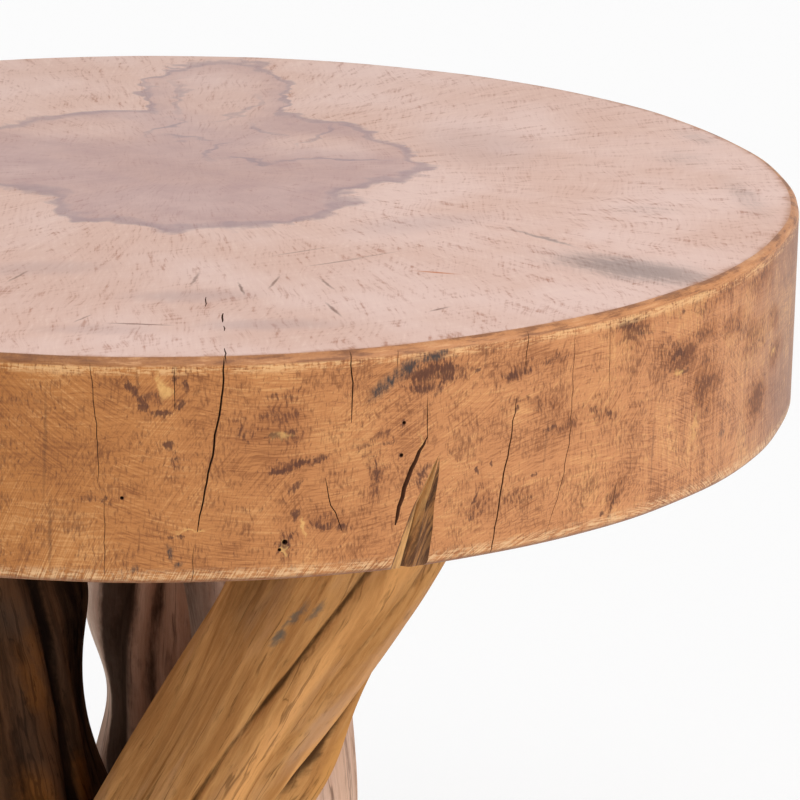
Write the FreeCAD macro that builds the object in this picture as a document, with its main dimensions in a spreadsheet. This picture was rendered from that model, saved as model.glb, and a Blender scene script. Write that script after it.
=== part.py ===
# Rustic side table: a thick round end-grain slab on four crooked trunks that twist past each other.
# Millimetres, +Z up, origin on the floor under the slab's centre, -Y is the front.
import FreeCAD
import Part
import Sketcher
import os

LEGS = ("front", "right", "back", "left")
RIGHT_ANGLE = 90

# Driving sizes: millimetres, and degrees for every lean, splay and turn.
SIZES = {
    "table_height": "500",
    "slab_diameter": "460",
    "slab_thickness": "73",
    "top_edge_bevel": "3",
    "bottom_edge_bevel": "2.5",
    # Weathered hollow in the rim: a wedge that opens at the slab's lower edge.
    "rim_hollow_turn": "-70",
    "rim_hollow_height": "42",
    "rim_hollow_top_width": "7",
    "rim_hollow_foot_width": "13",
    "rim_hollow_lean": "10.5",
    "rim_hollow_depth": "4",
    # The ring of trunks at the waist.
    "base_turn": "-120",
    "waist_drop": "217",
    "waist_girth": "64",
    "waist_straight": "50",
    "leg_lean": "23",
    "joint_flat_depth": "2.5",
    "joint_flat_margin": "4",
    # Loose round tenons between the trunks and the slab.
    "tenon_diameter": "22",
    "tenon_in_slab": "36",
    "tenon_in_leg": "34",
    "tenon_end_bevel": "1.5",
    # Waist bolts, sunk in pockets that wooden plugs close.
    "bolt_diameter": "8",
    "bolt_hole_clearance": "0.5",
    "bolt_head_width": "13",
    "bolt_head_height": "5.3",
    "bolt_tail": "3",
    "nut_height": "6.5",
    "washer_diameter": "17.5",
    "washer_thickness": "1.6",
    "washer_clearance": "1.25",
    "plug_thickness": "7",
    "plug_clearance": "1",
    # Nail-on floor glides.
    "glide_diameter": "30",
    "glide_thickness": "5",
    "glide_bevel": "1.5",
    "nail_diameter": "2.6",
    "nail_length": "22",
    "nail_head_diameter": "7",
    "nail_head_height": "1.2",
    "nail_head_recess": "1",
}

# Each trunk's own growth: a swell is how much thicker than the waist it is at that end, slimness how much
# narrower it is one way, lean goes along the ring, splay away from the table's axis.
TRUNKS = {
    "front": {
        "top_swell": "-2", "foot_swell": "6", "slimness": "6",
        "upper_lean": "29", "upper_splay": "2", "lower_lean": "34", "lower_splay": "13",
        "knot_drop": "12", "knot_turn": "84", "knot_girth": "28", "knot_height": "18",
    },
    "right": {
        "top_swell": "-2", "foot_swell": "2", "slimness": "9",
        "upper_lean": "13", "upper_splay": "-10", "lower_lean": "36", "lower_splay": "12",
        "knot_drop": "90", "knot_turn": "0", "knot_girth": "44", "knot_height": "56",
    },
    "back": {
        "top_swell": "-8", "foot_swell": "4", "slimness": "3",
        "upper_lean": "18", "upper_splay": "25", "lower_lean": "33", "lower_splay": "14",
        "knot_drop": "80", "knot_turn": "-10", "knot_girth": "42", "knot_height": "60",
    },
    "left": {
        "top_swell": "2", "foot_swell": "8", "slimness": "9",
        "upper_lean": "17", "upper_splay": "0", "lower_lean": "35", "lower_splay": "13",
        "knot_drop": "70", "knot_turn": "40", "knot_girth": "46", "knot_height": "70",
    },
}

doc = FreeCAD.newDocument("SlabSideTable")


# Sheet of driving sizes

def make_sheet():
    """Writes every driving size into one sheet, each cell under its own alias."""
    sheet = doc.addObject("Spreadsheet::Sheet", "Sizes")
    cells = dict(SIZES)
    for leg in LEGS:
        for size, text in TRUNKS[leg].items():
            cells[f"{leg}_{size}"] = text
    for row, (alias, text) in enumerate(cells.items(), start=1):
        sheet.set(f"A{row}", alias)
        sheet.set(f"B{row}", text)
        sheet.setAlias(f"B{row}", alias)
    doc.recompute()


# Layout worked out from the sizes

def make_layout():
    """Derived places: heights, the waist ring, and each trunk's top and foot in its own turned frame."""
    layout = doc.addObject("App::VarSet", "Layout")

    def derive(name, expression):
        layout.addProperty("App::PropertyFloat", name, "Layout", "")
        layout.setExpression(name, expression)

    derive("seat_height", "Sizes.table_height - Sizes.slab_thickness")
    derive("waist_height", "Layout.seat_height - Sizes.waist_drop")
    derive("straight_half", "Sizes.waist_straight / 2")
    # Neighbouring trunks are skew lines a quarter turn apart; half their distance is the flat's depth short
    # of a trunk's radius, and that fixes the ring's radius.
    derive("contact_half", "Sizes.waist_girth / 2 - Sizes.joint_flat_depth")
    derive("waist_radius", "Layout.contact_half * sqrt(1 + cos(Sizes.leg_lean) ^ 2) / cos(Sizes.leg_lean)")
    derive("bolt_radius", "sqrt(2) * Layout.waist_radius / (1 + cos(Sizes.leg_lean) ^ 2)")
    derive("bolt_pitch", "90 - atan(tan(Sizes.leg_lean) / sqrt(2)) / 1 deg")
    # Along a bolt, from the flat: the trunk's skin, the seat of the washer, and the pocket that holds it all.
    derive("trunk_skin", "Sizes.waist_girth - Sizes.joint_flat_depth")
    derive("pocket_depth", "Sizes.washer_thickness + Sizes.nut_height + Sizes.bolt_tail"
           " + Sizes.plug_clearance + Sizes.plug_thickness")
    derive("pocket_radius", "Sizes.washer_diameter / 2 + Sizes.washer_clearance")
    derive("bolt_seat", "Layout.trunk_skin - Layout.pocket_depth")
    # Half the chord that each flat leaves on a trunk, and how far two such strips overlap where they cross.
    derive("flat_chord", "sqrt((Sizes.waist_girth / 2) ^ 2 - Layout.contact_half ^ 2)")
    derive("crossing_sine", "sin(2 * asin(sin(Sizes.leg_lean) / sqrt(2)))")
    derive("flat_radius", "2 * Layout.flat_chord / Layout.crossing_sine + Sizes.joint_flat_margin")
    for number, leg in enumerate(LEGS):
        rise = "(Sizes.waist_drop - Layout.straight_half)"
        fall = "(Layout.waist_height - Layout.straight_half - Sizes.glide_thickness)"
        bend = "Layout.straight_half * tan(Sizes.leg_lean)"
        derive(f"{leg}_turn", f"Sizes.base_turn + {number} * 360 / {len(LEGS)}")
        derive(f"{leg}_top_x", f"Layout.waist_radius + {rise} * tan(Sizes.{leg}_upper_splay)")
        derive(f"{leg}_top_y", f"{bend} + {rise} * tan(Sizes.{leg}_upper_lean)")
        derive(f"{leg}_foot_x", f"Layout.waist_radius + {fall} * tan(Sizes.{leg}_lower_splay)")
        derive(f"{leg}_foot_y", f"-{bend} - {fall} * tan(Sizes.{leg}_lower_lean)")
    doc.recompute()


# Helpers

def bind(thing, **expressions):
    """Binds properties of an object to expressions over the sheet and the layout."""
    for name, expression in expressions.items():
        thing.setExpression(name, expression)
    return thing


def placed(x="0", y="0", z="0", yaw="0", pitch="0"):
    """Expression for a placement: a place, then a turn about Z after a tilt about Y."""
    return f"placement(vector({x}; {y}; {z}); rotation({yaw}; {pitch}; 0))"


def on_leg(leg, x, y, z):
    """Expression for an upright placement in a trunk's own frame, which is turned about the table's axis."""
    return f"{placed(yaw=f'Layout.{leg}_turn')} * {placed(x, y, z)}"


def on_bolt(leg, along):
    """Expression for a placement on the axis of the bolt that joins a trunk to the next one round the ring.
    Its Z runs from the next trunk into this one, and along is measured from the flat where they meet."""
    ring = placed(yaw=f"Layout.{leg}_turn + 45")
    axis = placed("Layout.bolt_radius", "0", "Layout.waist_height", f"-{RIGHT_ANGLE}", "Layout.bolt_pitch")
    return f"{ring} * {axis} * {placed(z=along)}"


def cylinder(name, radius, height, placement):
    thing = doc.addObject("Part::Cylinder", name)
    return bind(thing, Radius=radius, Height=height, Placement=placement)


def plane_of(body, role):
    return next(plane for plane in body.Origin.OriginFeatures if plane.Role == role)


def sketch_on(body, name, role="XY_Plane"):
    sketch = body.newObject("Sketcher::SketchObject", name)
    sketch.AttachmentSupport = (plane_of(body, role), [""])
    sketch.MapMode = "FlatFace"
    return sketch


def circle_sketch(body, name, radius):
    sketch = sketch_on(body, name)
    sketch.addGeometry(Part.Circle(FreeCAD.Vector(), FreeCAD.Vector(0, 0, 1), 10), False)
    sketch.addConstraint(Sketcher.Constraint("Coincident", 0, 3, -1, 1))
    size = sketch.addConstraint(Sketcher.Constraint("Radius", 0, 10))
    sketch.setExpression(f"Constraints[{size}]", radius)
    return sketch


def pad(body, name, profile, length):
    feature = body.newObject("PartDesign::Pad", name)
    feature.Profile = profile
    bind(feature, Length=length)
    doc.recompute()
    return feature


def ring_edge(shape, height):
    """Name of the round edge of a shape that lies at a height."""
    for number, edge in enumerate(shape.Edges, start=1):
        box = edge.BoundBox
        if abs(box.ZMin - height) < 1e-6 and abs(box.ZMax - height) < 1e-6:
            return f"Edge{number}"
    raise ValueError(f"no round edge at {height}")


def chamfer_ring(body, name, base, height, size):
    feature = body.newObject("PartDesign::Chamfer", name)
    feature.Base = (base, [ring_edge(base.Shape, height)])
    bind(feature, Size=size)
    doc.recompute()
    return feature


def label(thing, name):
    thing.Label = name
    finished.append(thing)
    return thing


# Slab top

def make_slab():
    """Round end-grain slab: bevelled edges, a weathered hollow in its rim, a mortise over each trunk."""
    body = doc.addObject("PartDesign::Body", "Slab")
    bind(body, Placement=placed(z="Layout.seat_height"))
    outline = circle_sketch(body, "SlabOutline", "Sizes.slab_diameter / 2")
    round_pad = pad(body, "SlabRound", outline, "Sizes.slab_thickness")
    thickness = round_pad.Length.Value
    upper = chamfer_ring(body, "SlabTopBevel", round_pad, thickness, "Sizes.top_edge_bevel")
    chamfer_ring(body, "SlabBottomBevel", upper, 0, "Sizes.bottom_edge_bevel")
    cut_rim_hollow(body)
    for leg in LEGS:
        mortise = body.newObject("PartDesign::SubtractiveCylinder", f"Mortise_{leg}")
        x, y = tenon_place(leg)
        bind(mortise, Radius="Sizes.tenon_diameter / 2", Height="Sizes.tenon_in_slab",
             Placement=on_leg(leg, x, y, "0"))
        doc.recompute()
    label(body, "slab_top")


def cut_rim_hollow(body):
    """Pocket shaped as a leaning wedge, cut from a plane just inside the rim outwards."""
    sketch = sketch_on(body, "RimHollowOutline", "XZ_Plane")
    corners = [FreeCAD.Vector(-8, -5, 0), FreeCAD.Vector(8, -5, 0), FreeCAD.Vector(10, 40, 0),
               FreeCAD.Vector(2, 40, 0)]
    for start, end in zip(corners, corners[1:] + corners[:1]):
        sketch.addGeometry(Part.LineSegment(start, end), False)
    for side in range(len(corners)):
        sketch.addConstraint(Sketcher.Constraint("Coincident", side, 2, (side + 1) % len(corners), 1))
    sketch.addConstraint(Sketcher.Constraint("Horizontal", 0))
    sketch.addConstraint(Sketcher.Constraint("Horizontal", 2))
    bound = [
        (("DistanceX", 0, 1, 0, 2, 16), "Sizes.rim_hollow_foot_width"),
        (("DistanceX", 2, 2, 2, 1, 8), "Sizes.rim_hollow_top_width"),
        (("DistanceX", -1, 1, 0, 2, 8), "Sizes.rim_hollow_foot_width / 2"),
        (("DistanceX", -1, 1, 2, 1, 10),
         "Sizes.rim_hollow_top_width / 2 + Sizes.rim_hollow_height * tan(Sizes.rim_hollow_lean)"),
        (("DistanceY", -1, 1, 2, 1, 40), "Sizes.rim_hollow_height"),
        (("DistanceY", 0, 2, -1, 1, 5), "Sizes.bottom_edge_bevel"),
    ]
    for rule, expression in bound:
        size = sketch.addConstraint(Sketcher.Constraint(*rule))
        sketch.setExpression(f"Constraints[{size}]", expression)
    # The sketch's own Y is up; its Z points to the front, so it is turned from there to the hollow.
    bind(sketch, AttachmentOffset=(
        f"placement(vector(0; 0; 0); rotation(0; Sizes.rim_hollow_turn + {RIGHT_ANGLE}; 0))"
        " * placement(vector(0; 0; Sizes.slab_diameter / 2 - Sizes.rim_hollow_depth); rotation(0; 0; 0))"))
    doc.recompute()
    before = body.Shape.Volume
    pocket = body.newObject("PartDesign::Pocket", "RimHollow")
    pocket.Profile = sketch
    pocket.Reversed = True
    bind(pocket, Length="Sizes.rim_hollow_depth * 2")
    doc.recompute()
    if body.Shape.Volume >= before:
        raise ValueError("the rim hollow cut nothing")


# Trunk legs

def trunk_sections(leg):
    """Level sections from the foot to the seat: height, centre, girth, and lean there."""
    waist = "Layout.waist_height"
    half = "Layout.straight_half"
    lean = "Sizes.leg_lean"
    foot_bend = f"-{half} * tan({lean})"
    top_bend = f"{half} * tan({lean})"
    foot = (f"Layout.{leg}_foot_x", f"Layout.{leg}_foot_y")
    top = (f"Layout.{leg}_top_x", f"Layout.{leg}_top_y")
    foot_girth = f"Sizes.waist_girth + Sizes.{leg}_foot_swell"
    top_girth = f"Sizes.waist_girth + Sizes.{leg}_top_swell"

    def between(first, second):
        return f"(({first}) + ({second})) / 2"

    yield ("Sizes.glide_thickness", *foot, foot_girth, f"Sizes.{leg}_lower_lean")
    yield (between("Sizes.glide_thickness", f"{waist} - {half}"), between(foot[0], "Layout.waist_radius"),
           between(foot[1], foot_bend), between(foot_girth, "Sizes.waist_girth"),
           f"Sizes.{leg}_lower_lean")
    yield (f"{waist} - {half}", "Layout.waist_radius", foot_bend, "Sizes.waist_girth", lean)
    yield (waist, "Layout.waist_radius", "0", "Sizes.waist_girth", lean)
    yield (f"{waist} + {half}", "Layout.waist_radius", top_bend, "Sizes.waist_girth", lean)
    yield (between("Layout.seat_height", f"{waist} + {half}"), between(top[0], "Layout.waist_radius"),
           between(top[1], top_bend), between(top_girth, "Sizes.waist_girth"),
           f"Sizes.{leg}_upper_lean")
    yield ("Layout.seat_height", *top, top_girth, f"Sizes.{leg}_upper_lean")


def section_sketch(body, name, height, x, y, girth, slimness, lean):
    """Ellipse in a level plane: a leaning trunk is cut longer along its lean."""
    sketch = sketch_on(body, name)
    oval = Part.Ellipse(FreeCAD.Vector(40, 0, 0), FreeCAD.Vector(0, 30, 0), FreeCAD.Vector())
    sketch.addGeometry(oval, False)
    sketch.exposeInternalGeometry(0)
    sketch.addConstraint(Sketcher.Constraint("Coincident", 0, 3, -1, 1))
    sketch.addConstraint(Sketcher.Constraint("Horizontal", 1))
    long_axis = sketch.addConstraint(Sketcher.Constraint("Distance", 1, 80))
    short_axis = sketch.addConstraint(Sketcher.Constraint("Distance", 2, 60))
    sketch.setExpression(f"Constraints[{long_axis}]", f"({girth}) / cos({lean})")
    sketch.setExpression(f"Constraints[{short_axis}]", f"({girth}) - {slimness}")
    bind(sketch, AttachmentOffset=placed(x, y, height, f"{RIGHT_ANGLE}"))
    return sketch


def make_trunk(leg):
    """One crooked trunk, lofted through level sections, with a knot on its upper half."""
    body = doc.addObject("PartDesign::Body", f"Trunk_{leg}")
    bind(body, Placement=placed(yaw=f"Layout.{leg}_turn"))
    sketches = []
    for number, (height, x, y, girth, lean) in enumerate(trunk_sections(leg)):
        at_waist = girth == "Sizes.waist_girth"
        slimness = "0" if at_waist else f"Sizes.{leg}_slimness"
        sketches.append(section_sketch(body, f"Trunk_{leg}_{number}", height, x, y, girth, slimness, lean))
    doc.recompute()
    loft = body.newObject("PartDesign::AdditiveLoft", f"Trunk_{leg}_Loft")
    loft.Profile = sketches[0]
    loft.Sections = sketches[1:]
    doc.recompute()
    knot = body.newObject("PartDesign::AdditiveEllipsoid", f"Trunk_{leg}_Knot")
    share = f"Sizes.{leg}_knot_drop / (Sizes.waist_drop - Layout.straight_half)"
    bend = "Layout.straight_half * tan(Sizes.leg_lean)"
    centre_x = f"(Layout.{leg}_top_x + (Layout.waist_radius - Layout.{leg}_top_x) * {share})"
    centre_y = f"(Layout.{leg}_top_y + ({bend} - Layout.{leg}_top_y) * {share})"
    reach = f"(Sizes.waist_girth + Sizes.{leg}_top_swell) / 2 - Sizes.{leg}_knot_girth / 3"
    bind(knot, Radius1=f"Sizes.{leg}_knot_height / 2", Radius2=f"Sizes.{leg}_knot_girth / 2",
         Radius3=f"Sizes.{leg}_knot_girth / 2",
         Placement=placed(f"{centre_x} + ({reach}) * cos(Sizes.{leg}_knot_turn)",
                          f"{centre_y} + ({reach}) * sin(Sizes.{leg}_knot_turn)"
                          f" / cos(Sizes.{leg}_upper_lean)",
                          f"Layout.seat_height - Sizes.{leg}_knot_drop"))
    doc.recompute()
    return body


def tenon_place(leg):
    """Where a trunk's tenon stands in the trunk's frame: over the trunk's centre half-way down the tenon."""
    depth = "Sizes.tenon_in_leg / 2"
    return (f"Layout.{leg}_top_x - {depth} * tan(Sizes.{leg}_upper_splay)",
            f"Layout.{leg}_top_y - {depth} * tan(Sizes.{leg}_upper_lean)")


def joint_cutters(leg, name, side):
    """What a bolted joint takes out of a trunk: the flat it meets its neighbour on, the hole and the pocket.
    Side is 1 where the trunk lies along the bolt's Z, and -1 on its neighbour."""
    flat_height = "Sizes.waist_girth"
    hole = "Sizes.bolt_diameter / 2 + Sizes.bolt_hole_clearance"
    if side > 0:
        flat_start, hole_start, pocket_start = f"-{flat_height}", "0", "Layout.bolt_seat"
    else:
        flat_start, hole_start = "0", "-Layout.trunk_skin"
        pocket_start = "-Layout.bolt_seat - Layout.pocket_depth * 2"
    return [
        cylinder(f"Flat_{name}", "Layout.flat_radius", flat_height, on_bolt(leg, flat_start)),
        cylinder(f"Hole_{name}", hole, "Layout.trunk_skin", on_bolt(leg, hole_start)),
        cylinder(f"Pocket_{name}", "Layout.pocket_radius", "Layout.pocket_depth * 2",
                 on_bolt(leg, pocket_start)),
    ]


def make_leg(number, leg):
    """A trunk with its tenon mortise, both bolted joints and its glide's nail hole cut in it."""
    trunk = make_trunk(leg)
    x, y = tenon_place(leg)
    before = LEGS[number - 1]
    cutters = joint_cutters(leg, f"{leg}_own", 1) + joint_cutters(before, f"{leg}_shared", -1)
    cutters.append(cylinder(f"TenonMortise_{leg}", "Sizes.tenon_diameter / 2", "Sizes.tenon_in_leg * 2",
                            on_leg(leg, x, y, "Layout.seat_height - Sizes.tenon_in_leg")))
    cutters.append(cylinder(f"NailHole_{leg}", "Sizes.nail_diameter / 2", "Sizes.nail_length",
                            on_leg(leg, f"Layout.{leg}_foot_x", f"Layout.{leg}_foot_y",
                                   "Sizes.nail_head_recess")))
    tools = doc.addObject("Part::MultiFuse", f"Cutters_{leg}")
    tools.Shapes = cutters
    cut = doc.addObject("Part::Cut", f"Leg_{leg}")
    cut.Base = trunk
    cut.Tool = tools
    doc.recompute()
    label(cut, f"trunk_leg_{leg}")
    return trunk


def make_tenon(leg):
    """Loose round tenon, glued half in the slab and half in the trunk."""
    body = doc.addObject("PartDesign::Body", f"Tenon_{leg}")
    x, y = tenon_place(leg)
    bind(body, Placement=on_leg(leg, x, y, "Layout.seat_height - Sizes.tenon_in_leg"))
    outline = circle_sketch(body, f"Tenon_{leg}_Round", "Sizes.tenon_diameter / 2")
    peg = pad(body, f"Tenon_{leg}_Peg", outline, "Sizes.tenon_in_slab + Sizes.tenon_in_leg")
    length = peg.Length.Value
    lower = chamfer_ring(body, f"Tenon_{leg}_LowerBevel", peg, 0, "Sizes.tenon_end_bevel")
    chamfer_ring(body, f"Tenon_{leg}_UpperBevel", lower, length, "Sizes.tenon_end_bevel")
    label(body, f"tenon_{leg}")


# Waist bolts

def hexagon(name, height, placement):
    thing = doc.addObject("Part::Prism", name)
    thing.Polygon = 6
    return bind(thing, Circumradius="Sizes.bolt_head_width / 2 / cos(30)", Height=height, Placement=placement)


def make_bolt(leg, following):
    """Hex bolt through two neighbouring trunks, with a washer under its head, a washer and a nut."""
    joint = f"{leg}_{following}"
    outer = "Layout.bolt_seat + Sizes.washer_thickness"
    tail = f"({outer} + Sizes.nut_height + Sizes.bolt_tail)"
    shank = cylinder(f"Shank_{joint}", "Sizes.bolt_diameter / 2", f"{tail} + {outer}",
                     on_bolt(leg, f"-{tail}"))
    bolt = doc.addObject("Part::Fuse", f"Bolt_{joint}")
    bolt.Base = hexagon(f"Head_{joint}", "Sizes.bolt_head_height", on_bolt(leg, outer))
    bolt.Tool = shank
    label(bolt, f"waist_bolt_{joint}")

    nut = doc.addObject("Part::Cut", f"Nut_{joint}")
    nut.Base = hexagon(f"NutBlank_{joint}", "Sizes.nut_height",
                       on_bolt(leg, f"-({outer}) - Sizes.nut_height"))
    nut.Tool = shank
    label(nut, f"waist_nut_{joint}")

    washers = doc.addObject("Part::Compound", f"Washers_{joint}")
    washers.Links = [
        make_washer(f"{joint}_head", leg, "Layout.bolt_seat"),
        make_washer(f"{joint}_nut", leg, f"-({outer})"),
    ]
    label(washers, f"waist_washers_{joint}")


def make_washer(name, leg, start):
    washer = doc.addObject("Part::Cut", f"Washer_{name}")
    blank = cylinder(f"WasherBlank_{name}", "Sizes.washer_diameter / 2", "Sizes.washer_thickness",
                     on_bolt(leg, start))
    washer.Base = blank
    washer.Tool = cylinder(f"WasherHole_{name}", "Sizes.bolt_diameter / 2 + Sizes.bolt_hole_clearance",
                           "Sizes.washer_thickness", on_bolt(leg, start))
    return washer


def make_plugs(leg, following, trunks):
    """Wooden plugs that close both pockets of a bolt, each pared flush with its trunk's skin."""
    joint = f"{leg}_{following}"
    length = "Sizes.plug_thickness * 2"
    ends = {
        f"head_plug_{joint}": (trunks[leg], "Layout.trunk_skin - Sizes.plug_thickness"),
        f"nut_plug_{joint}": (trunks[following], f"-Layout.trunk_skin - {length} + Sizes.plug_thickness"),
    }
    for name, (trunk, start) in ends.items():
        blank = cylinder(f"Blank_{name}", "Layout.pocket_radius", length, on_bolt(leg, start))
        plug = doc.addObject("Part::Common", f"Pared_{name}")
        plug.Base = blank
        plug.Tool = trunk
        label(plug, name)


# Floor glides

def make_glide(leg):
    """Nylon disc under a trunk's foot, bevelled at the floor, with a recess for its nail's head."""
    body = doc.addObject("PartDesign::Body", f"Glide_{leg}")
    bind(body, Placement=on_leg(leg, f"Layout.{leg}_foot_x", f"Layout.{leg}_foot_y", "0"))
    outline = circle_sketch(body, f"Glide_{leg}_Round", "Sizes.glide_diameter / 2")
    disc = pad(body, f"Glide_{leg}_Disc", outline, "Sizes.glide_thickness")
    chamfer_ring(body, f"Glide_{leg}_Bevel", disc, 0, "Sizes.glide_bevel")
    recess = body.newObject("PartDesign::SubtractiveCylinder", f"Glide_{leg}_Recess")
    bind(recess, Radius="Sizes.nail_head_diameter / 2",
         Height="Sizes.nail_head_recess + Sizes.nail_head_height")
    doc.recompute()
    hole = body.newObject("PartDesign::SubtractiveCylinder", f"Glide_{leg}_Hole")
    bind(hole, Radius="Sizes.nail_diameter / 2", Height="Sizes.glide_thickness")
    doc.recompute()
    label(body, f"foot_glide_{leg}")


def make_nail(leg):
    """Steel nail that holds a glide, its flat head sunk clear of the floor."""
    foot = (f"Layout.{leg}_foot_x", f"Layout.{leg}_foot_y")
    nail = doc.addObject("Part::Fuse", f"Nail_{leg}")
    nail.Base = cylinder(f"NailShank_{leg}", "Sizes.nail_diameter / 2", "Sizes.nail_length",
                         on_leg(leg, *foot, "Sizes.nail_head_recess"))
    nail.Tool = cylinder(f"NailHead_{leg}", "Sizes.nail_head_diameter / 2", "Sizes.nail_head_height",
                         on_leg(leg, *foot, "Sizes.nail_head_recess"))
    label(nail, f"glide_nail_{leg}")


# Checks and files

def check_and_write():
    """Stops on any failed object or bad shape, then writes one file per sub-part."""
    for thing in doc.Objects:
        if {"Invalid", "Error"} & set(thing.State):
            raise RuntimeError(f"{thing.Name} failed: {thing.State}")
    for thing in finished:
        shape = thing.Shape
        if shape.isNull() or not shape.isValid() or not shape.Solids:
            raise RuntimeError(f"{thing.Label} has no sound solid")
    os.makedirs("parts", exist_ok=True)
    for thing in finished:
        thing.Shape.exportStep(os.path.join("parts", f"{thing.Label}.step"))
        print(f"{thing.Label}: {len(thing.Shape.Solids)} solid(s), {thing.Shape.Volume / 1000:.1f} cm3")


finished = []
make_sheet()
make_layout()
make_slab()
bare_trunks = {leg: make_leg(number, leg) for number, leg in enumerate(LEGS)}
for number, leg in enumerate(LEGS):
    following = LEGS[(number + 1) % len(LEGS)]
    make_tenon(leg)
    make_bolt(leg, following)
    make_plugs(leg, following, bare_trunks)
    make_glide(leg)
    make_nail(leg)
doc.recompute()
check_and_write()
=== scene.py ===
# %% [markdown]
# # A rustic side table: a round slab of trunk on four crossed trunks
# The table is a thick slice sawn across a log, sanded and waxed, standing on four gnarled trunks that cross
# at a waist. The CAD model gives the structure: slab, trunks, tenons, bolts, plugs and glides. This lesson
# keeps that frame and models what a saw, a knife and the weather left on the wood.

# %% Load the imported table
import math
import random

import bpy
import numpy as np
from mathutils import Matrix, Vector
from mathutils.bvhtree import BVHTree


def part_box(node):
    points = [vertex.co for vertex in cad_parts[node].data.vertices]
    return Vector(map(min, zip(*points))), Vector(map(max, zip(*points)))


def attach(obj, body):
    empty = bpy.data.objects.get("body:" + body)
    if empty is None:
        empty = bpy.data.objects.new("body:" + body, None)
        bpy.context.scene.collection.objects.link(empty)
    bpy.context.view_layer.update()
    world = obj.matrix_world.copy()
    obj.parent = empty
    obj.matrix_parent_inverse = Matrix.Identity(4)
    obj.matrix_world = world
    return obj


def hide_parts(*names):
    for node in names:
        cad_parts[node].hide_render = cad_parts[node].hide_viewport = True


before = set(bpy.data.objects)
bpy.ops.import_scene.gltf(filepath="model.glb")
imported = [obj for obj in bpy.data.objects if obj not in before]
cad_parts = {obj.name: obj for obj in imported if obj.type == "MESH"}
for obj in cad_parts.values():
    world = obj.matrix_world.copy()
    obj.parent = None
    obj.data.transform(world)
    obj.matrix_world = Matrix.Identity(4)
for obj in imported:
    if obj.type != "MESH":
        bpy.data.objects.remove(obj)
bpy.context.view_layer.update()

# %% [markdown]
# ## Sizes from the frame
# The slab's radius and height, the trunks' lines and the bolted joints are all read from the boxes of the
# CAD nodes. Marks on the rim are placed in millimetres, along the arc from the front and up from the
# underside, the way one would mark them with a tape.

# %% Sizes from the frame
MM = 0.001
LEGS = ("front", "right", "back", "left")
slab_low, slab_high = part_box("slab_top")
RADIUS = (slab_high.x - slab_low.x) / 2
UNDERSIDE = slab_low.z
TOP = slab_high.z
THICKNESS = TOP - UNDERSIDE


def middle(node):
    """Centre of a CAD node's box."""
    low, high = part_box(node)
    return (low + high) / 2


def rim_point(along, up, out=0.0):
    """A place on the rim, in millimetres: along the arc from the front, up from the underside, and out."""
    angle = along * MM / RADIUS
    reach = RADIUS + out * MM
    return Vector((reach * math.sin(angle), -reach * math.cos(angle), UNDERSIDE + up * MM))


print(f"slab radius {RADIUS:.4f}, underside {UNDERSIDE:.4f}, top {TOP:.4f}")

# %% [markdown]
# ## Arithmetic for finishes
# A procedural finish is a sum of masks, so it helps to write it as one. `Field` wraps an output of a shader
# node and turns +, -, * and / into Math nodes. `Finish` is a material under construction: its `node` method
# adds any other node from its type, its settings and its inputs.


# %% Arithmetic for finishes
class Field:
    """An output of a shader node: a value that varies over a surface."""

    def __init__(self, finish, socket):
        self.finish = finish
        self.socket = socket

    def math(self, operation, *values):
        return self.finish.node("ShaderNodeMath", {"operation": operation}, values)

    def __add__(self, other):
        return self.math("ADD", self, other)

    __radd__ = __add__

    def __sub__(self, other):
        return self.math("SUBTRACT", self, other)

    def __rsub__(self, other):
        return self.math("SUBTRACT", other, self)

    def __mul__(self, other):
        return self.math("MULTIPLY", self, other)

    __rmul__ = __mul__

    def __truediv__(self, other):
        return self.math("DIVIDE", self, other)


print("sums of fields turn into Math nodes")

# %% A finish under construction
# A spot reaches a little past its half sizes, and is at full strength in a small core.
SPOT_REACH = 1.15
SPOT_CORE = 0.83
HALF = (0.5, 0.5, 0.5)


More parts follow.
